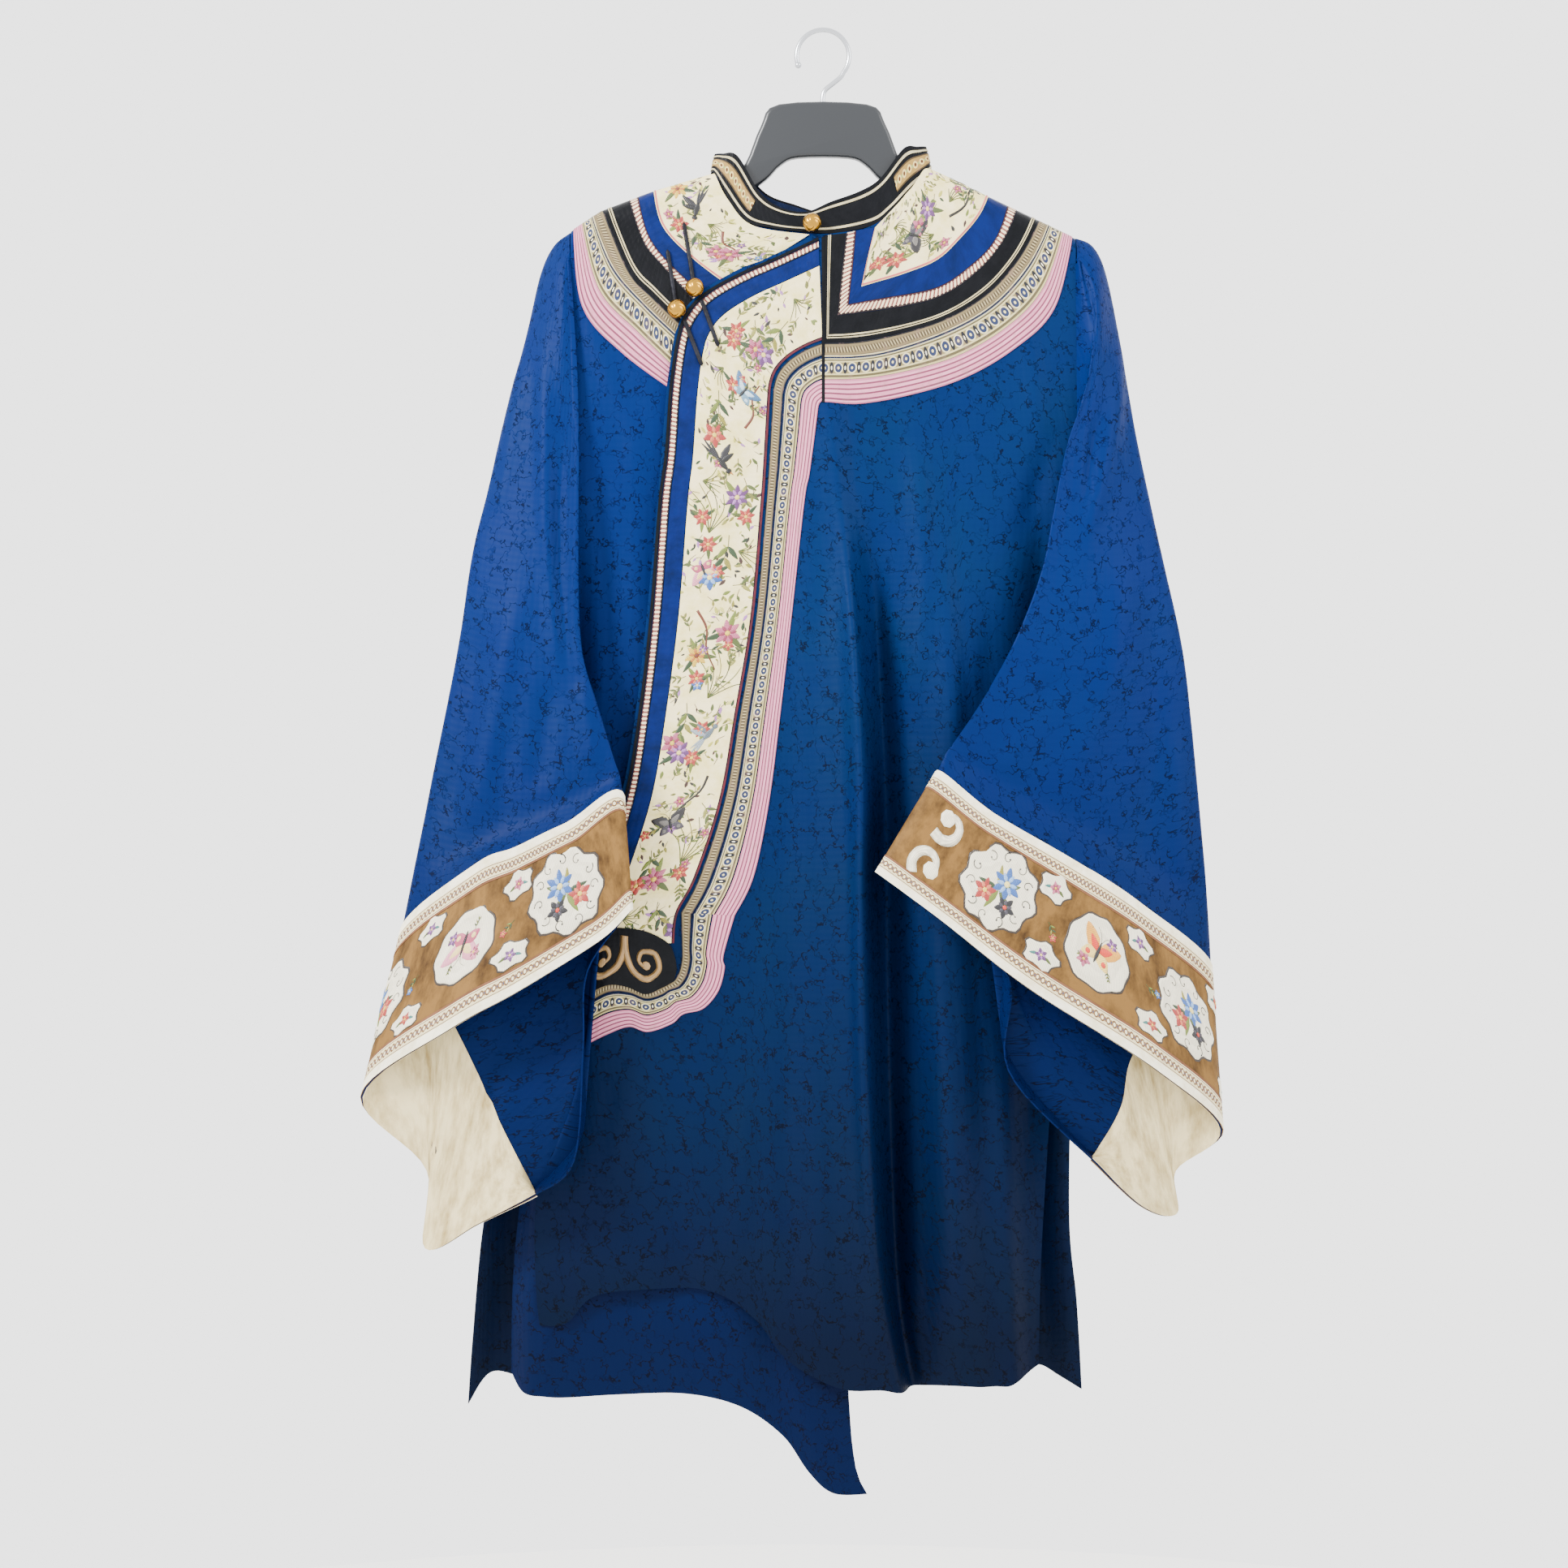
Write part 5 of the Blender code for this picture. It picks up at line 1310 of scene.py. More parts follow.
def sew(work, kind, s, c, turn, size, pick):
    if kind == "spray":
        work.spray(s, c, turn, size, greens, blooms[pick % 5])
    elif kind == "twig":
        work.spray(s, c, turn, size, olive)
    elif kind == "bloom":
        work.flower(s, c, size / 2, 6, blooms[pick % 5], turn)
        for k in range(3):
            work.leaf(s, c, turn + 2.1 * k + 0.6, size * 0.85, size * 0.24, greens[k], 0.25)
    elif kind == "butterfly":
        work.butterfly(s, c, turn, size / 2, wings[pick % 4])
    elif kind == "bird":
        work.bird(s, c, turn, size / 2, feathers[pick % 3])
    elif kind == "branch":
        line = [(s, c), (s + size * 0.3 * math.cos(turn), c + size * 0.3 * math.sin(turn) + 3),
                (s + size * 0.65 * math.cos(turn), c + size * 0.65 * math.sin(turn) - 2),
                (s + size * math.cos(turn), c + size * math.sin(turn))]
        work.stem(line, 2.6, "#8A4A2E" if pick % 2 else "#2A2220", 0.5)
        for k, (ps, pc) in enumerate(line[1:]):
            work.spray(ps, pc, turn + (0.9 if k % 2 else -0.9), size * 0.34, greens, blooms[(pick + k) % 5])
    elif kind == "grass":
        for k in range(6):
            bend = turn + (k - 2.5) * 0.26
            work.stem([(s, c), (s + size * 0.5 * math.cos(bend), c + size * 0.5 * math.sin(bend)),
                       (s + size * math.cos(bend + 0.25 * (k - 2.5) / 2.5), c + size * math.sin(bend + 0.3))],
                      1.3, greens[k % 4])


def scatter(work, count, keep, low=3.0, high=7.0, margin=2.0):
    # small leaves between the motifs, as the ground is filled
    band = work.band
    for _ in range(count):
        s = draw.uniform(6, band.length - 6)
        room = band.half(s) - margin
        c = draw.uniform(-room, room)
        turn, size, pick = draw.uniform(0, 6.28), draw.uniform(low, high), draw.randrange(len(grounds))
        if room > 0 and all(math.hypot(s - a, c - b) > r for a, b, r in keep):
            work.leaf(s, c, turn, size, size * 0.46, grounds[pick], 0.22)
            if pick % 3 == 0:
                work.stem([(s, c), (s + size * math.cos(turn + 2.4), c + size * math.sin(turn + 2.4))], 0.7,
                          "#6A5A3A")


def embroider(name, node, band, motifs, fill, lift=0.0):
    work = Stitching(band, lift)
    keep = []
    for kind, s, c, turn, size, pick in motifs:
        sew(work, kind, s, c, turn, size * 1.5, pick)
        keep.append((s, c, size * 0.36))
    for _ in range(int(band.length / 9)):
        s, turn, pick = draw.uniform(14, band.length - 14), draw.uniform(0, 6.28), draw.randrange(10)
        room = max(band.half(s) - 9, 0)
        c = draw.uniform(-room, room)
        if room and all(math.hypot(s - a, c - b) > r * 0.8 for a, b, r in keep):
            sew(work, ("spray", "twig", "bloom", "twig", "grass")[pick % 5], s, c, turn, 15, pick)
            keep.append((s, c, 8))
    scatter(work, fill, keep)
    trims[node].append(work.finished(name))


groundTop = ribbonForm["lift"] + ribbonForm["wall"]
closingBand = Band(stripPoints(overlapSkin, closingLine(0.275), closingLine(0.955), evenly(170, 14),
                               [k / 8 for k in range(9)], groundTop), 1)
yokeBands = {where: stripBand(yokeGuides[where, "cream"], 0.03, 0.94, groundTop, side)
             for where, side in (("Right", 1), ("Left", 1), ("Back", 1))}
bands = dict(yokeBands, closing=closingBand)
for band, way in ((closingBand, -1), (yokeBands["Right"], -1), (yokeBands["Left"], -1), (yokeBands["Back"], 1)):
    j, i = len(band.table) // 2, len(band.table[0]) // 2
    normal = (band.table[j][i + 1] - band.table[j][i]).cross(band.table[j + 1][i] - band.table[j][i])
    band.side = 1 if normal.y * way > 0 else -1

closingMotifs = [
    ("spray", 30, 4, 0.4, 24, 1), ("twig", 52, -10, 1.0, 17, 0), ("bloom", 66, 8, 0.3, 13, 0),
    ("twig", 84, -6, 2.2, 18, 0), ("butterfly", 104, 9, 2.6, 22, 3), ("spray", 112, -12, 0.2, 22, 2),
    ("branch", 134, 12, 2.9, 30, 1), ("bird", 164, -6, 0.8, 26, 0), ("twig", 176, 14, 0.5, 17, 0),
    ("bloom", 192, 10, 1.1, 14, 1), ("grass", 220, -10, 3.0, 26, 0), ("spray", 222, 6, 0.1, 24, 3),
    ("butterfly", 250, -12, 0.4, 20, 1), ("branch", 282, -14, 0.4, 34, 1), ("twig", 262, 12, 1.6, 18, 0),
    ("bloom", 300, 12, 0.2, 15, 0), ("bloom", 318, -10, 0.9, 13, 4), ("grass", 352, 4, 2.7, 30, 0),
    ("spray", 356, -12, 0.3, 22, 0), ("bird", 382, 8, 2.5, 24, 1), ("bloom", 396, -12, 0.5, 14, 1),
    ("branch", 414, 14, -0.5, 32, 0), ("twig", 436, 14, 0.9, 16, 0), ("butterfly", 454, -6, 3.6, 22, 0),
    ("grass", 486, 12, 2.9, 28, 0), ("spray", 476, -14, 0.4, 20, 2), ("bloom", 500, -4, 0.4, 15, 0),
    ("spray", 520, 8, 0.2, 20, 1),
]
embroider("closingFlowers", "closing_embroidered", closingBand, closingMotifs, 780)
yokeMotifs = {
    "Right": [("spray", 22, 2, 0.4, 18, 0), ("butterfly", 44, 4, 0.6, 20, 0), ("bloom", 62, -8, 0.2, 13, 1),
              ("branch", 74, 10, 0.1, 28, 0), ("twig", 92, -9, 0.7, 16, 0), ("bird", 118, 2, 0.6, 22, 1),
              ("spray", 138, -8, 0.3, 17, 3), ("bloom", 150, 10, 0.4, 12, 4)],
    "Left": [("bloom", 14, 6, 0.4, 12, 4), ("bird", 34, -4, 0.7, 24, 0), ("spray", 48, 10, 0.2, 18, 0),
             ("branch", 62, -8, 0.5, 24, 1), ("bloom", 84, 8, 0.6, 13, 0), ("twig", 92, -8, 0.3, 15, 0)],
    "Back": [("spray", 20, -6, 0.4, 20, 0), ("butterfly", 48, 6, 0.6, 20, 1), ("bloom", 72, -8, 0.1, 15, 1),
             ("branch", 92, 12, 0.1, 34, 1), ("bird", 142, -6, 0.3, 26, 1), ("grass", 170, 12, 0.2, 22, 0),
             ("bloom", 196, 4, 0.4, 16, 0), ("spray", 214, -12, 0.5, 22, 2), ("butterfly", 252, 8, 2.4, 22, 2),
             ("branch", 276, -12, 0.2, 32, 0), ("bloom", 322, 6, 0.7, 14, 3), ("spray", 342, -6, 0.2, 18, 0)],
}
for where, motifs in yokeMotifs.items():
    embroider("yokeFlowers" + where, "yoke_%s_cream" % where.lower(), yokeBands[where], motifs,
              {"Right": 230, "Left": 170, "Back": 380}[where])

# the scrolls on the lobed head, in tan braid
headBand = Band(stripPoints(overlapSkin, headTop, headLow, evenly(50, len(headTop) - 1), [k / 8 for k in range(9)],
                            ribbonForm["headLift"] + ribbonForm["wall"]), closingBand.side)
scrolls = Stitching(headBand, 0.0)
for way in (1, -1):
    horn = [(0, -17), (1, -4), (7, 9), (18, 13), (28, 5), (25, -7), (15, -8), (12, 0), (18, 4)]
    scrolls.stem([(42 + way * a, c) for a, c in horn], 7.5, "#B89A6C", 0.7)
    scrolls.disc(42 + way * 18, 2.5, 3.6, "#B89A6C", 0.7)
trims["closing_head"].append(scrolls.finished("headScrolls"))

# Sleeve bands: white edges, a dotted strip inside each, medallions and sprigs on the gold field

cuffLook = {"edge": 0.06, "dots": 0.155, "line": 0.172, "pitch": 92.0, "first": {"left": 62.0, "right": 92.0}}
cuffBands = {}
for side in ("left", "right"):
    top = clothWall / 2 + cuffSpan["bandLift"] + cuffSpan["bandWall"]
    last = len(cuffTables[side][0]) - 1
    table = [[cuffPoint(side, cuffSpan["bandFrom"] + (last - cuffSpan["bandFrom"]) * k / 150,
                        j * sleeveForm["cuffRows"] / 8, top) for j in range(9)] for k in range(151)]
    band = Band(table, 1)
    spot = cuffPoint(side, cuffSpan["bandFrom"] + 20, 7, top)
    out = cuffPoint(side, cuffSpan["bandFrom"] + 20, 7, top + 1) - spot
    j, i = 150 * 20 // (last - cuffSpan["bandFrom"]), 4
    normal = (band.table[j][i + 1] - band.table[j][i]).cross(band.table[j + 1][i] - band.table[j][i])
    band.side = 1 if normal.dot(out) > 0 else -1
    cuffBands[side] = band
    parts = []
    for name, finish, low, high, lift in (
            ("EdgeTop", "whiteEdge", 0.0, cuffLook["edge"], 0.15), ("EdgeLow", "whiteEdge", 1 - cuffLook["edge"], 1.0, 0.15),
            ("DotsTop", "dottedSilk", cuffLook["edge"], cuffLook["dots"], 0.05),
            ("DotsLow", "dottedSilk", 1 - cuffLook["dots"], 1 - cuffLook["edge"], 0.05),
            ("LineTop", "brownThread", cuffLook["dots"], cuffLook["line"], 0.1),
            ("LineLow", "brownThread", 1 - cuffLook["line"], 1 - cuffLook["dots"], 0.1)):
        parts.append(ringStrip("cuff" + name + side.title(), finish, band, low, high, 8, lift, 0.4))
    work = Stitching(band, 0.0)
    number = 0
    s = cuffLook["first"][side]
    if side == "right":
        for c in (-18, 18):
            work.curl(34, c, 2.2, 15, 11, "#F2ECD8", 1 if c > 0 else -1)
    while s < band.length - 30:
        half = band.half(s)
        size = 31 if number % 2 == 0 else 28
        outline = []
        for k in range(44):
            a = 2 * math.pi * k / 44
            r = size * (1 + (0.07 if number % 2 == 0 else 0.03) * math.cos(9 * a))
            outline.append((s + r * math.cos(a) * 1.02, r * math.sin(a) * 0.98))
        work.add([(s + (a - s) * 1.05, c * 1.05) for a, c in outline], "#4A3A2A", 0.2)
        work.add(outline, "#F2ECD8", 0.9)
        work.lift = 0.85
        if number % 2 == 0:
            for k in range(11):
                a = 2 * math.pi * k / 11
                work.curl(s + size * 0.76 * math.cos(a), size * 0.76 * math.sin(a), a, 4.6, 1.2,
                          "#8A857C" if k % 2 else "#2E2B32", 1 if k % 2 else -1, 0.4)
            work.flower(s + 4, -6, 13, 6, blooms[3], 0.3)
            work.flower(s - 10, 7, 10, 5, blooms[2], 0.8)
            work.flower(s + 10, 10, 9, 5, ["#2A262C", "#5A5560", "#D9532F"], 0.1)
            for k in range(5):
                work.leaf(s, 1, 0.6 + 1.26 * k, 19, 5.4, greens[k % 4], 0.3)
        else:
            work.butterfly(s, -1, 1.3 * (1 if side == "left" else -1), 23, wings[1 if side == "left" else 2])
            work.flower(s - 11, 10, 6.5, 5, blooms[0], 0.2)
            work.flower(s + 12, -11, 6.0, 5, blooms[1], 0.5)
            for k in range(4):
                work.spray(s + 13 * math.cos(1.57 * k + 0.7), 13 * math.sin(1.57 * k + 0.7), 1.57 * k + 1.5, 9, greens)
        work.lift = 0.0
        # small cloud patches with a flower, by the edges, halfway to the next medallion
        for c in (-half * 0.52, half * 0.52):
            middle = s + cuffLook["pitch"] / 2 + (4 if c > 0 else -5)
            if middle > band.length - 14:
                continue
            patch = []
            for k in range(20):
                a = 2 * math.pi * k / 20
                r = 11.5 * (1 + 0.16 * math.cos(5 * a + 0.7))
                patch.append((middle + r * 1.2 * math.cos(a), c + r * 0.86 * math.sin(a)))
            work.add([(middle + (a - middle) * 1.1, c + (b - c) * 1.1) for a, b in patch], "#4A3A2A", 0.18)
            work.add(patch, "#F2ECD8", 0.7)
            work.lift = 0.65
            work.flower(middle, c, 5.4, 5, blooms[(number + (c > 0)) % 5], 0.4)
            work.leaf(middle + 3, c, 0.4, 7, 2.6, greens[0], 0.25)
            work.leaf(middle - 3, c, 2.7, 7, 2.6, "#4E8A86", 0.25)
            work.lift = 0.0
        work.spray(s + cuffLook["pitch"] / 2, 0, 0.5, 12, greens, blooms[(number + 2) % 5])
        number += 1
        s += cuffLook["pitch"]
    parts.append(work.finished("cuffFlowers" + side.title()))
    trims["cuff_band_" + side] = parts

# Collar lines and its brocade strip
collarTable = [[Vector(collarRow(i / 8)[k]) for i in range(9)] for k in range(len(collarRow(0)))]
collarBand = Band(collarTable, 1)
j, i = 60, 4
normal = (collarTable[j][i + 1] - collarTable[j][i]).cross(collarTable[j + 1][i] - collarTable[j][i])
collarBand.side = 1 if normal.dot(Vector((collarTable[j][i].x, collarTable[j][i].y * 4, 0))) > 0 else -1
collarTopLift = collarForm["wall"] / 2 + 0.05
trims["collar"] += [
    ringStrip("collarLineTop", "creamThread", collarBand, 0.80, 0.87, 1, collarTopLift, 0.5, columns=2, step=2),
    ringStrip("collarLineLow", "creamThread", collarBand, 0.12, 0.19, 1, collarTopLift, 0.5, columns=2, step=2),
    ringStrip("collarBrocadeFirst", "goldBrocade", collarBand, 0.3, 0.7, 9, collarTopLift, 0.45, 0.0, 0.124, 4, 2),
    ringStrip("collarBrocade", "goldBrocade", collarBand, 0.3, 0.7, 9, collarTopLift, 0.45, 0.41, 1.0, 4, 2),
    ringStrip("collarLining", "navyLining", collarBand, 0.02, 0.94, 28, -collarForm["wall"] / 2 - 0.75, 0.5, 0, 1, 6, 3),
]


# Finishes

def addNode(tree, kind, inputs=None, **settings):
    node = tree.nodes.new(kind)
    for key, value in settings.items():
        setattr(node, key, value)
    for key, value in (inputs or {}).items():
        if isinstance(value, bpy.types.NodeSocket):
            tree.links.new(value, node.inputs[key])
        else:
            node.inputs[key].default_value = value
    return node


def setRamp(node, stops, mode="LINEAR"):
    ramp = node.color_ramp
    ramp.interpolation = mode
    while len(ramp.elements) > 1:
        ramp.elements.remove(ramp.elements[-1])
    for k, (place, shade) in enumerate(stops):
        stop = ramp.elements[0] if k == 0 else ramp.elements.new(place)
        stop.position = place
        stop.color = linear(shade) if isinstance(shade, str) else (shade, shade, shade, 1)


def startMaterial(name):
    material = bpy.data.materials.new(name)
    material.use_nodes = True
    tree = material.node_tree
    tree.nodes.clear()
    shader = addNode(tree, "ShaderNodeBsdfPrincipled")
    output = addNode(tree, "ShaderNodeOutputMaterial", {"Surface": shader.outputs["BSDF"]})
    output.location = (400, 0)
    return material, tree, shader


def wovenBump(tree, metres, pitch, strength, below=None):
    # warp and weft as two crossed waves; pitch in mm, drawn coarser than silk so that it shows
    warp = addNode(tree, "ShaderNodeTexWave", {"Vector": metres, "Scale": 1000 / pitch / 20, "Distortion": 0.6,
                                               "Detail": 1.0, "Detail Scale": 2.0},
                   wave_type="BANDS", bands_direction="X")
    weft = addNode(tree, "ShaderNodeTexWave", {"Vector": metres, "Scale": 1000 / pitch / 20, "Distortion": 0.6,
                                               "Detail": 1.0, "Detail Scale": 2.0},
                   wave_type="BANDS", bands_direction="Y")
    cross = addNode(tree, "ShaderNodeMath", {0: warp.outputs["Fac"], 1: weft.outputs["Fac"]},
                    operation="ADD")
    inputs = {"Strength": strength, "Distance": 0.0002, "Height": cross.outputs[0]}
    if below is not None:
        inputs["Normal"] = below
    return addNode(tree, "ShaderNodeBump", inputs).outputs["Normal"]


# Silk damask: a satin ground with scrolling cloud figures in the same colour, soft with age, with painted shade that
# darkens it towards the hem
damask = {
    "body": {"ground": "#001546", "figure": "#00051A", "worn": "#002040", "dark": "#000618", "hemShade": 0.2},
    "sleeve": {"ground": "#00154C", "figure": "#00061E", "worn": "#001C4A", "dark": "#00051C", "hemShade": 0.3},
    "hem": -1.05, "chest": -0.45,
    "curl": 0.2, "sway": 22.0, "cell": 17.0, "rough": (0.5, 0.68), "sheen": 0.0,
    "thread": 0.9,
}


def damaskSilk(name, shades):
    material, tree, shader = startMaterial(name)
    uv = addNode(tree, "ShaderNodeUVMap", uv_map="UVMap").outputs["UV"]
    size = addNode(tree, "ShaderNodeVectorMath", {0: uv, 1: (1000, 1000, 1000)}, operation="MULTIPLY").outputs[0]
    # cloud lines: the edges of small cells, bent by a curling noise
    curl = addNode(tree, "ShaderNodeTexNoise", {"Vector": size, "Scale": damask["curl"], "Detail": 1.5})
    bent = addNode(tree, "ShaderNodeVectorMath", {0: curl.outputs["Color"], 1: (damask["sway"],) * 3, 2: size},
                   operation="MULTIPLY_ADD").outputs[0]
    edges = addNode(tree, "ShaderNodeTexVoronoi", {"Vector": bent, "Scale": 1 / damask["cell"], "Randomness": 1.0},
                    voronoi_dimensions="2D", feature="DISTANCE_TO_EDGE").outputs["Distance"]
    curls = addNode(tree, "ShaderNodeMapRange", {"Value": edges, "From Min": 0.03, "From Max": 0.065, "To Min": 1.0,
                                                 "To Max": 0.0}, interpolation_type="SMOOTHSTEP").outputs["Result"]
    # colour: figure on ground, then fading and rubbing in broad soft areas
    cloud = addNode(tree, "ShaderNodeTexNoise", {"Vector": size, "Scale": 0.012, "Detail": 4.0, "Roughness": 0.6})
    rub = addNode(tree, "ShaderNodeTexNoise", {"Vector": size, "Scale": 0.09, "Detail": 3.0, "Roughness": 0.65})
    ground = addNode(tree, "ShaderNodeMix", {0: cloud.outputs["Fac"], 6: linear(shades["ground"]),
                                             7: linear(shades["worn"])}, data_type="RGBA")
    dark = addNode(tree, "ShaderNodeMix", {0: cloud.outputs["Fac"], 6: linear(shades["figure"]),
                                           7: linear(shades["dark"])}, data_type="RGBA")
    strength = addNode(tree, "ShaderNodeMapRange", {"Value": rub.outputs["Fac"], "From Min": 0.42, "From Max": 0.56,
                                                    "To Min": 0.15, "To Max": 0.85}).outputs["Result"]
    share = addNode(tree, "ShaderNodeMath", {0: curls, 1: strength}, operation="MULTIPLY").outputs[0]
    woven = addNode(tree, "ShaderNodeMix", {0: share, 6: ground.outputs[2], 7: dark.outputs[2]}, data_type="RGBA")
    # painted shade: the colour is multiplied darker from the chest down to the hem, reaching hemShade at the hem
    down = addNode(tree, "ShaderNodeSeparateXYZ", {"Vector": uv}).outputs["Y"]
    paintedHemShade = addNode(tree, "ShaderNodeMapRange", {"Value": down, "From Min": damask["hem"], "From Max": damask["chest"],
                                               "To Min": shades["hemShade"], "To Max": 1.0}).outputs["Result"]
    colour = addNode(tree, "ShaderNodeMix", {0: 1.0, 6: woven.outputs[2], 7: paintedHemShade}, data_type="RGBA",
                     blend_type="MULTIPLY")
    rough = addNode(tree, "ShaderNodeMapRange", {"Value": curls, "To Min": damask["rough"][0],
                                                 "To Max": damask["rough"][1]}).outputs["Result"]
    relief = addNode(tree, "ShaderNodeBump", {"Strength": 0.25, "Distance": 0.0002, "Height": curls},
                     ).outputs["Normal"]
    tree.links.new(colour.outputs[2], shader.inputs["Base Color"])
    tree.links.new(rough, shader.inputs["Roughness"])
    tree.links.new(wovenBump(tree, uv, damask["thread"], 0.25, relief), shader.inputs["Normal"])
    shader.inputs["Specular IOR Level"].default_value = 0.05
    return material


# Plain silks and ribbons: ground, shade where it is worn, roughness, thread in mm, relief
silks = {
    "blackSatin": ("#040508", "#0B0C10", 0.4, 0.7, 0.2), "creamSilk": ("#E4D5A4", "#CDBE74", 0.6, 0.8, 0.3),
    "blueBias": ("#00144C", "#000D34", 0.45, 0.8, 0.3),
    "darkCord": ("#3A1C22", "#571F26", 0.55, 0.8, 0.5), "creamThread": ("#B3A884", "#8A7F60", 0.55, 0.8, 0.5),
    "roseThread": ("#B5545A", "#8E3C46", 0.55, 0.8, 0.5), "blackCord": ("#131318", "#22232A", 0.42, 0.9, 0.6),
    # shadedIvoryFacing: a beige silk whose colour is also darkened as painted shade for the inside of the sleeve
    # mouths
    "shadedIvoryFacing": ("#C9B98C", "#8E7A4E", 0.55, 0.9, 0.3), "navyLining": ("#101B36", "#18264A", 0.4, 0.8, 0.2),
    "goldField": ("#6E5028", "#302010", 0.6, 1.1, 0.5), "whiteEdge": ("#E6DFC8", "#C9BE9C", 0.55, 0.8, 0.4),
    "brownThread": ("#6E4A34", "#573824", 0.6, 0.8, 0.4),
}


def plainSilk(name, lines=None, width=1.0, repeat=None):
    # lines: stops across the ribbon (share, colour); repeat: a woven figure along it; neither is used, nor is width
    ground, worn, rough, thread, relief = silks[name]
    material, tree, shader = startMaterial(name)
    uv = addNode(tree, "ShaderNodeUVMap", uv_map="UVMap").outputs["UV"]
    size = addNode(tree, "ShaderNodeVectorMath", {0: uv, 1: (1000, 1000, 1000)}, operation="MULTIPLY").outputs[0]
    wear = addNode(tree, "ShaderNodeTexNoise", {"Vector": size, "Scale": 0.06, "Detail": 5.0, "Roughness": 0.65})
    spread = addNode(tree, "ShaderNodeMapRange", {"Value": wear.outputs["Fac"], "From Min": 0.4, "From Max": 0.7})
    colour = addNode(tree, "ShaderNodeMix", {0: spread.outputs["Result"], 6: linear(ground),
                                             7: linear(worn)}, data_type="RGBA")
    tree.links.new(colour.outputs[2], shader.inputs["Base Color"])
    shader.inputs["Roughness"].default_value = rough
    shader.inputs["Specular IOR Level"].default_value = 0.09
    crumple = addNode(tree, "ShaderNodeBump", {"Strength": 0.5, "Distance": 0.0015,
                                               "Height": wear.outputs["Fac"]}).outputs["Normal"]
    tree.links.new(wovenBump(tree, uv, thread, relief, crumple), shader.inputs["Normal"])
    return material


finishes = {"silkDamask": damaskSilk("silkDamask", damask["body"]),
            "underDamask": damaskSilk("underDamask", damask["sleeve"]),
            "sleeveDamask": damaskSilk("sleeveDamask", damask["sleeve"])}
for name in silks:
    finishes[name] = plainSilk(name)

# Woven ribbons: their width in mm, the colours of the lines across them, then dots along them:
# step, offset, squash along and across, radius, colour
ribbons = {
    "checkRibbon": (5, [(0, "#300C12"), (0.2, "#A06C60"), (0.8, "#150608")],
                    [(3.4, 0, 1.0, 0.5, 1.0, "#D8C6A2"), (3.4, 1.7, 1.0, 0.5, 0.7, "#6A342E")]),
    "figuredRibbon": (14, [(0, "#0A1430"), (0.07, "#A8A27E"), (0.12, "#4C442A"), (0.18, "#B4A978"), (0.25, "#776B42"),
                           (0.75, "#B4A978"), (0.82, "#4C442A"), (0.92, "#A69A68")],
                      [(11.0, 0, 0.9, 1.0, 3.5, "#C6BC92"), (11.0, 0, 1.0, 1.0, 2.8, "#1C2644"),
                       (11.0, 0, 1.0, 1.0, 0.9, "#C9BC84"), (11.0, 5.5, 1.4, 0.62, 2.3, "#15161C"),
                       (11.0, 5.5, 2.4, 0.9, 1.2, "#E4DFC8")]),
    "pinkRibbon": (17, [(0, "#A9637B"), (0.08, "#C57F96"), (0.17, "#6E3048"), (0.24, "#BC738B"), (0.37, "#6E3048"),
                        (0.44, "#C57F96"), (0.57, "#6A2C44"), (0.64, "#BC738B"), (0.79, "#622840"),
                        (0.87, "#C57F96"), (0.94, "#94506A")], []),
    "tanRibbon": (8, [(0, "#0A090C"), (0.1, "#6A5C3E"), (0.86, "#453A26"), (0.93, "#0C0F22")],
                  [(2.4, 0, 1.0, 0.3, 0.6, "#3E3422"), (2.4, 1.2, 1.0, 0.3, 0.45, "#9C8E68")]),
    "dottedSilk": (8, [(0, "#D8CDAA"), (0.06, "#5E4226"), (0.12, "#CABD94"), (0.88, "#5E4226"), (0.94, "#D8CDAA")],
                   [(4.4, 0, 1.0, 0.8, 1.7, "#5E4226"), (4.4, 0, 1.0, 0.8, 0.9, "#D8CDAA"),
                    (4.4, 2.2, 1.0, 0.7, 1.0, "#7C5C38"), (4.4, 2.2, 1.0, 0.7, 0.45, "#2A3A58")]),
    "goldBrocade": (9, [(0, "#3A2C12"), (0.1, "#8A6C30"), (0.9, "#3A2C12")],
                    [(6.0, 0, 1.0, 1.0, 2.1, "#C4AC6C"), (6.0, 0, 1.0, 1.0, 1.1, "#4A2C12"),
                     (6.0, 3.0, 1.0, 1.0, 0.9, "#7C8A4E")]),
}


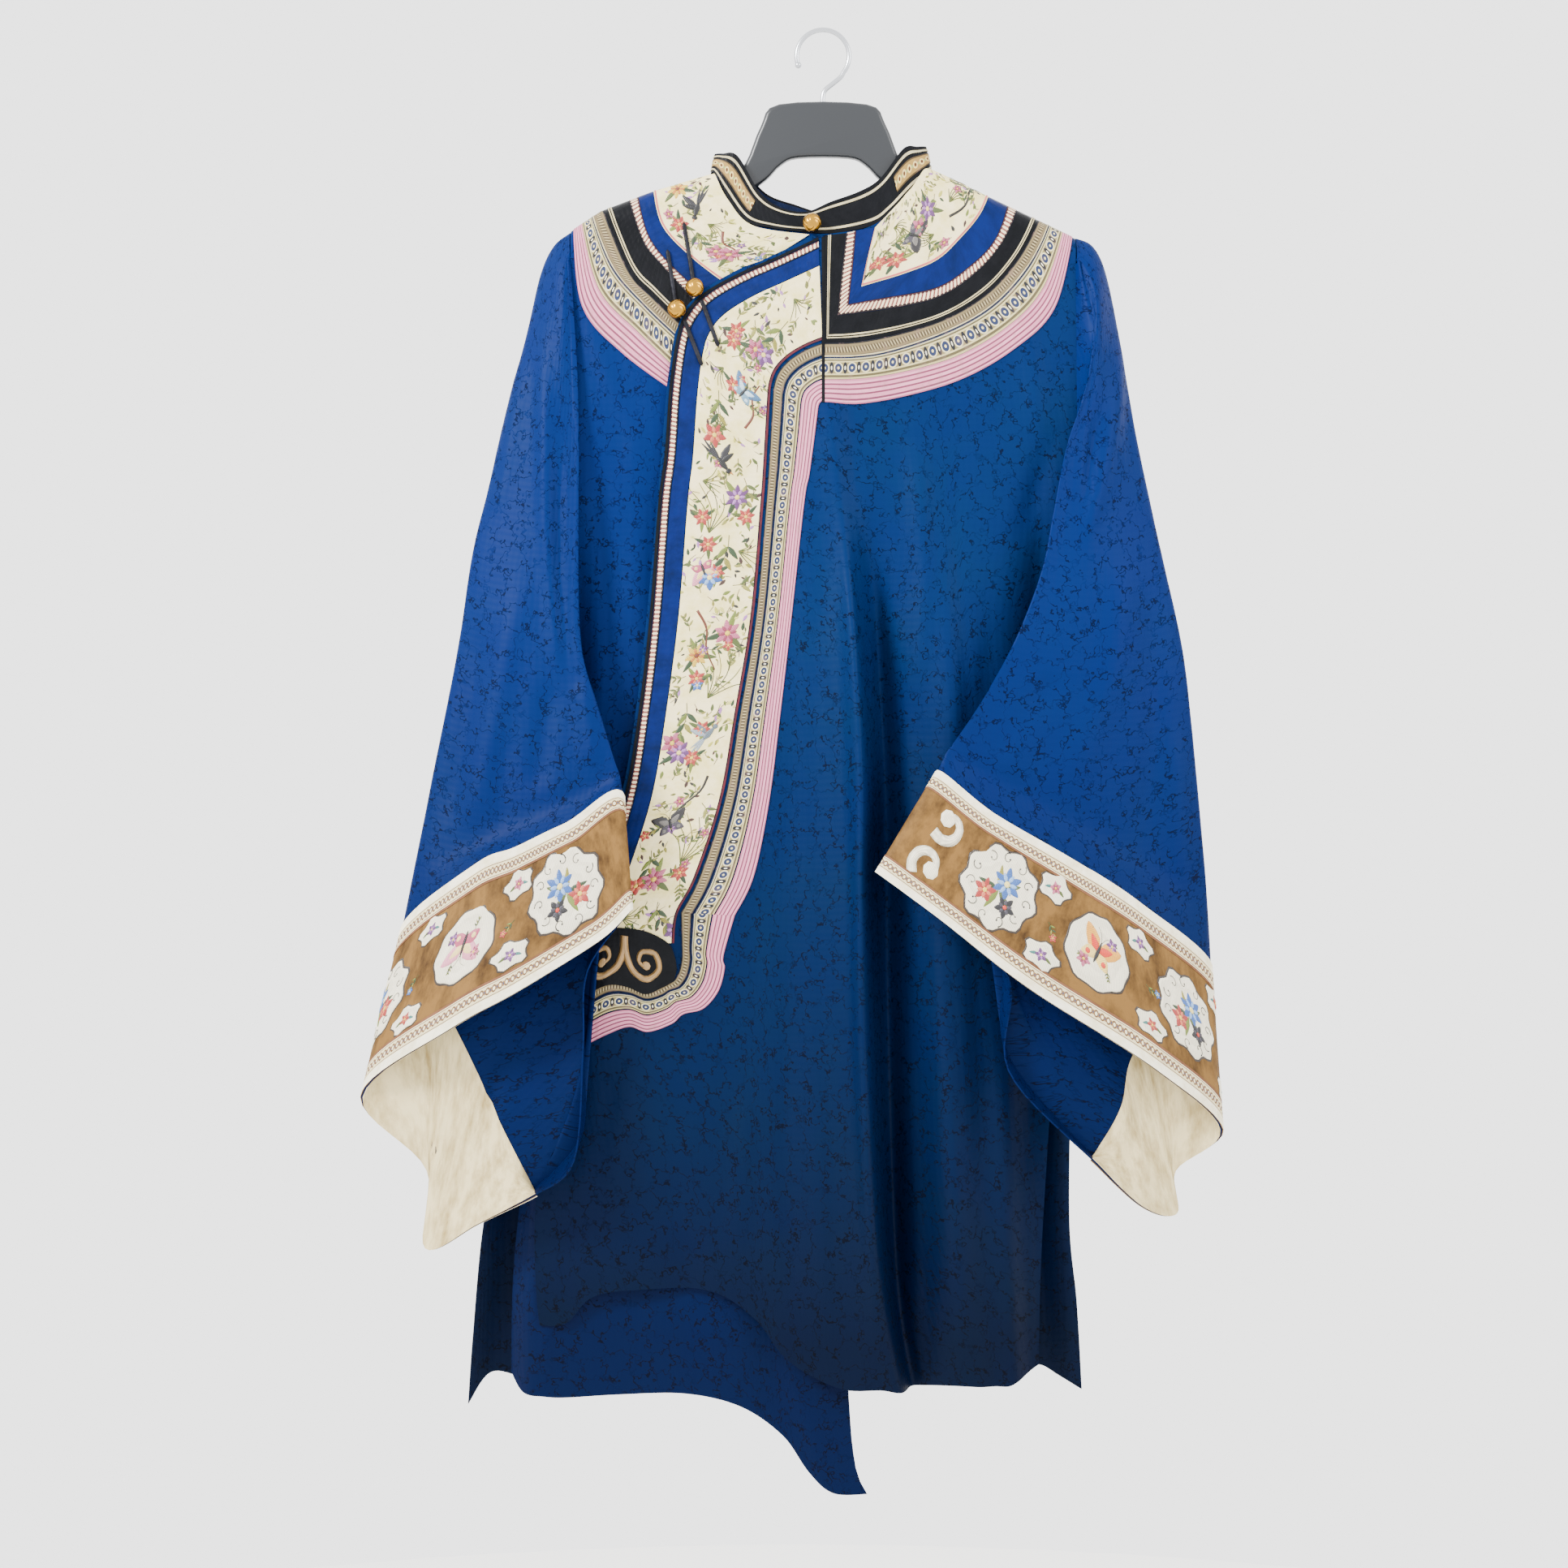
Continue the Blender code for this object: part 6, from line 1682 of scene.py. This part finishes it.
def ribbonSilk(name):
    width, lines, dots = ribbons[name]
    material, tree, shader = startMaterial(name)
    uv = addNode(tree, "ShaderNodeUVMap", uv_map="UVMap").outputs["UV"]
    size = addNode(tree, "ShaderNodeVectorMath", {0: uv, 1: (1000, 1000, 1000)}, operation="MULTIPLY").outputs[0]
    parts = addNode(tree, "ShaderNodeSeparateXYZ", {"Vector": size})
    across = addNode(tree, "ShaderNodeMath", {0: parts.outputs["Y"], 1: width}, operation="DIVIDE").outputs[0]
    ramp = addNode(tree, "ShaderNodeValToRGB", {"Fac": across})
    setRamp(ramp, lines, "CONSTANT")
    colour = ramp.outputs["Color"]
    for step, offset, squashAlong, squashAcross, radius, shade in dots:
        spot = addNode(tree, "ShaderNodeVectorMath", {0: size, 1: (-offset, -width / 2, 0)},
                       operation="ADD").outputs[0]
        tile = addNode(tree, "ShaderNodeVectorMath", {0: spot, 1: (step / 2, 99, 9), 2: (-step / 2, -99, -9)},
                       operation="WRAP").outputs[0]
        shape = addNode(tree, "ShaderNodeVectorMath", {0: tile, 1: (squashAlong, squashAcross, 0)},
                        operation="MULTIPLY").outputs[0]
        far = addNode(tree, "ShaderNodeVectorMath", {0: shape}, operation="LENGTH").outputs["Value"]
        inside = addNode(tree, "ShaderNodeMath", {0: far, 1: radius}, operation="LESS_THAN").outputs[0]
        colour = addNode(tree, "ShaderNodeMix", {0: inside, 6: colour, 7: linear(shade)}, data_type="RGBA").outputs[2]
    wear = addNode(tree, "ShaderNodeTexNoise", {"Vector": size, "Scale": 0.11, "Detail": 5.0, "Roughness": 0.7})
    spread = addNode(tree, "ShaderNodeMapRange", {"Value": wear.outputs["Fac"], "From Min": 0.52, "From Max": 0.72,
                                                  "To Max": 0.45})
    worn = addNode(tree, "ShaderNodeMix", {0: spread.outputs["Result"], 6: colour, 7: linear("#7A5E58")},
                   data_type="RGBA").outputs[2]
    tree.links.new(worn, shader.inputs["Base Color"])
    shader.inputs["Roughness"].default_value = 0.6
    shader.inputs["Specular IOR Level"].default_value = 0.25
    tree.links.new(wovenBump(tree, uv, 1.0, 0.45), shader.inputs["Normal"])
    return material


for name in ribbons:
    finishes[name] = ribbonSilk(name)


def threadSilk():
    # floss laid in satin stitch: each patch has its own colour, and fine ridges across it; painted shade darkens the
    # colour overall and most in the grooves between the ridges
    material, tree, shader = startMaterial("silkThread")
    shade = addNode(tree, "ShaderNodeVertexColor", layer_name="thread")
    uv = addNode(tree, "ShaderNodeUVMap", uv_map="UVMap").outputs["UV"]
    ridges = addNode(tree, "ShaderNodeTexWave", {"Vector": uv, "Scale": 240.0, "Distortion": 0.8},
                     wave_type="BANDS", bands_direction="X")
    # painted shade: darker where the ridges are low, lighter on their tops
    grooveShade = addNode(tree, "ShaderNodeMix", {0: ridges.outputs["Fac"], 6: (0.6, 0.6, 0.6, 1), 7: (0.88, 0.88, 0.88, 1)},
                   data_type="RGBA")
    colour = addNode(tree, "ShaderNodeMix", {0: 1.0, 6: shade.outputs["Color"], 7: grooveShade.outputs[2]},
                     data_type="RGBA", blend_type="MULTIPLY")
    bump = addNode(tree, "ShaderNodeBump", {"Strength": 0.5, "Distance": 0.0002, "Height": ridges.outputs["Fac"]})
    tree.links.new(colour.outputs[2], shader.inputs["Base Color"])
    tree.links.new(bump.outputs["Normal"], shader.inputs["Normal"])
    shader.inputs["Roughness"].default_value = 0.42
    return material


finishes["silkThread"] = threadSilk()


def hardFinish(name, shade, metallic, rough):
    material, tree, shader = startMaterial(name)
    shader.inputs["Base Color"].default_value = linear(shade)
    shader.inputs["Metallic"].default_value = metallic
    shader.inputs["Roughness"].default_value = rough
    return material


finishes["giltBrass"] = hardFinish("giltBrass", "#A67A26", 1.0, 0.24)
finishes["hangerPlastic"] = hardFinish("hangerPlastic", "#15181C", 0.0, 0.32)
finishes["steelWire"] = hardFinish("steelWire", "#B9BBBF", 1.0, 0.25)

# Which piece stands for which node
stands = {"front_overlap": [frontOverlap], "front_under": [frontUnder], "back": [backPanel],
          "sleeve_left": [sleeves["left"]["piece"]], "sleeve_right": [sleeves["right"]["piece"]]}
frontOverlap["finish"] = backPanel["finish"] = "silkDamask"
frontUnder["finish"] = "underDamask"
for side in ("left", "right"):
    sleeves[side]["piece"]["finish"] = "sleeveDamask"
    cuffPieces["band", side]["finish"] = "goldField"
    cuffPieces["facing", side]["finish"] = "shadedIvoryFacing"
    stands["cuff_band_" + side] = [cuffPieces["band", side]]
    stands["cuff_facing_" + side] = [cuffPieces["facing", side]]
for node, pieces in trims.items():
    stands[node] = stands.get(node, []) + pieces

print("robe: placing pieces on the frame")
for node, pieces in stands.items():
    for number, piece in enumerate(pieces):
        finish = piece["finish"]
        piece.data.materials.clear()
        piece.data.materials.append(finishes[finish])
        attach(piece, "root")
        if number == 0:
            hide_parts(node)

# Sheets: the width and length each was cut to before it was sewn, in metres; the loop only looks each piece up
cutSizes = {"frontOverlap": (0.59, 0.98), "frontUnder": (0.33, 1.06), "backPanel": (0.55, 1.01),
            "sleeveLeft": (0.78, 0.67), "sleeveRight": (0.85, 0.66), "sleeveBandLeft": (0.456, 0.1),
            "sleeveBandRight": (0.465, 0.1), "cuffFacingLeft": (0.395, 0.1), "cuffFacingRight": (0.4, 0.1)}
for name, flat in cutSizes.items():
    piece = bpy.data.objects[name]

# Floor, light and air
stageForm = {"radius": 1.9, "drop": -1.75}
bpy.ops.object.select_all(action="DESELECT")
bpy.ops.mesh.primitive_circle_add(vertices=96, radius=stageForm["radius"], fill_type="NGON",
                                  location=(0, 0.4, stageForm["drop"]))
floor = bpy.context.object
floor.name = "paleFloor"
floorMaterial, floorTree, floorShader = startMaterial("palePaper")
floorShader.inputs["Base Color"].default_value = linear("#F2F1EE")
floorShader.inputs["Roughness"].default_value = 0.9
floor.data.materials.append(floorMaterial)

lamps = [("key", (-2.0, -1.7, 1.0), (0, 0, -0.4), 0.7, 190), ("fill", (2.2, -1.6, 0.6), (0, 0, -0.5), 1.4, 60),
         ("back", (0.6, 2.2, 0.6), (0, 0, -0.5), 1.6, 30)]
for name, place, aim, wide, power in lamps:
    lamp = bpy.data.lights.new(name, "AREA")
    lamp.energy = power
    lamp.size = wide
    thing = bpy.data.objects.new(name, lamp)
    thing.location = place
    thing.rotation_euler = (Vector(aim) - Vector(place)).to_track_quat("-Z", "Y").to_euler()
    bpy.context.scene.collection.objects.link(thing)

world = bpy.data.worlds.new("whiteRoom")
bpy.context.scene.world = world
world.use_nodes = True
sky = world.node_tree.nodes["Background"]
sky.inputs["Color"].default_value = (1, 1, 1, 1)
sky.inputs["Strength"].default_value = 3.0
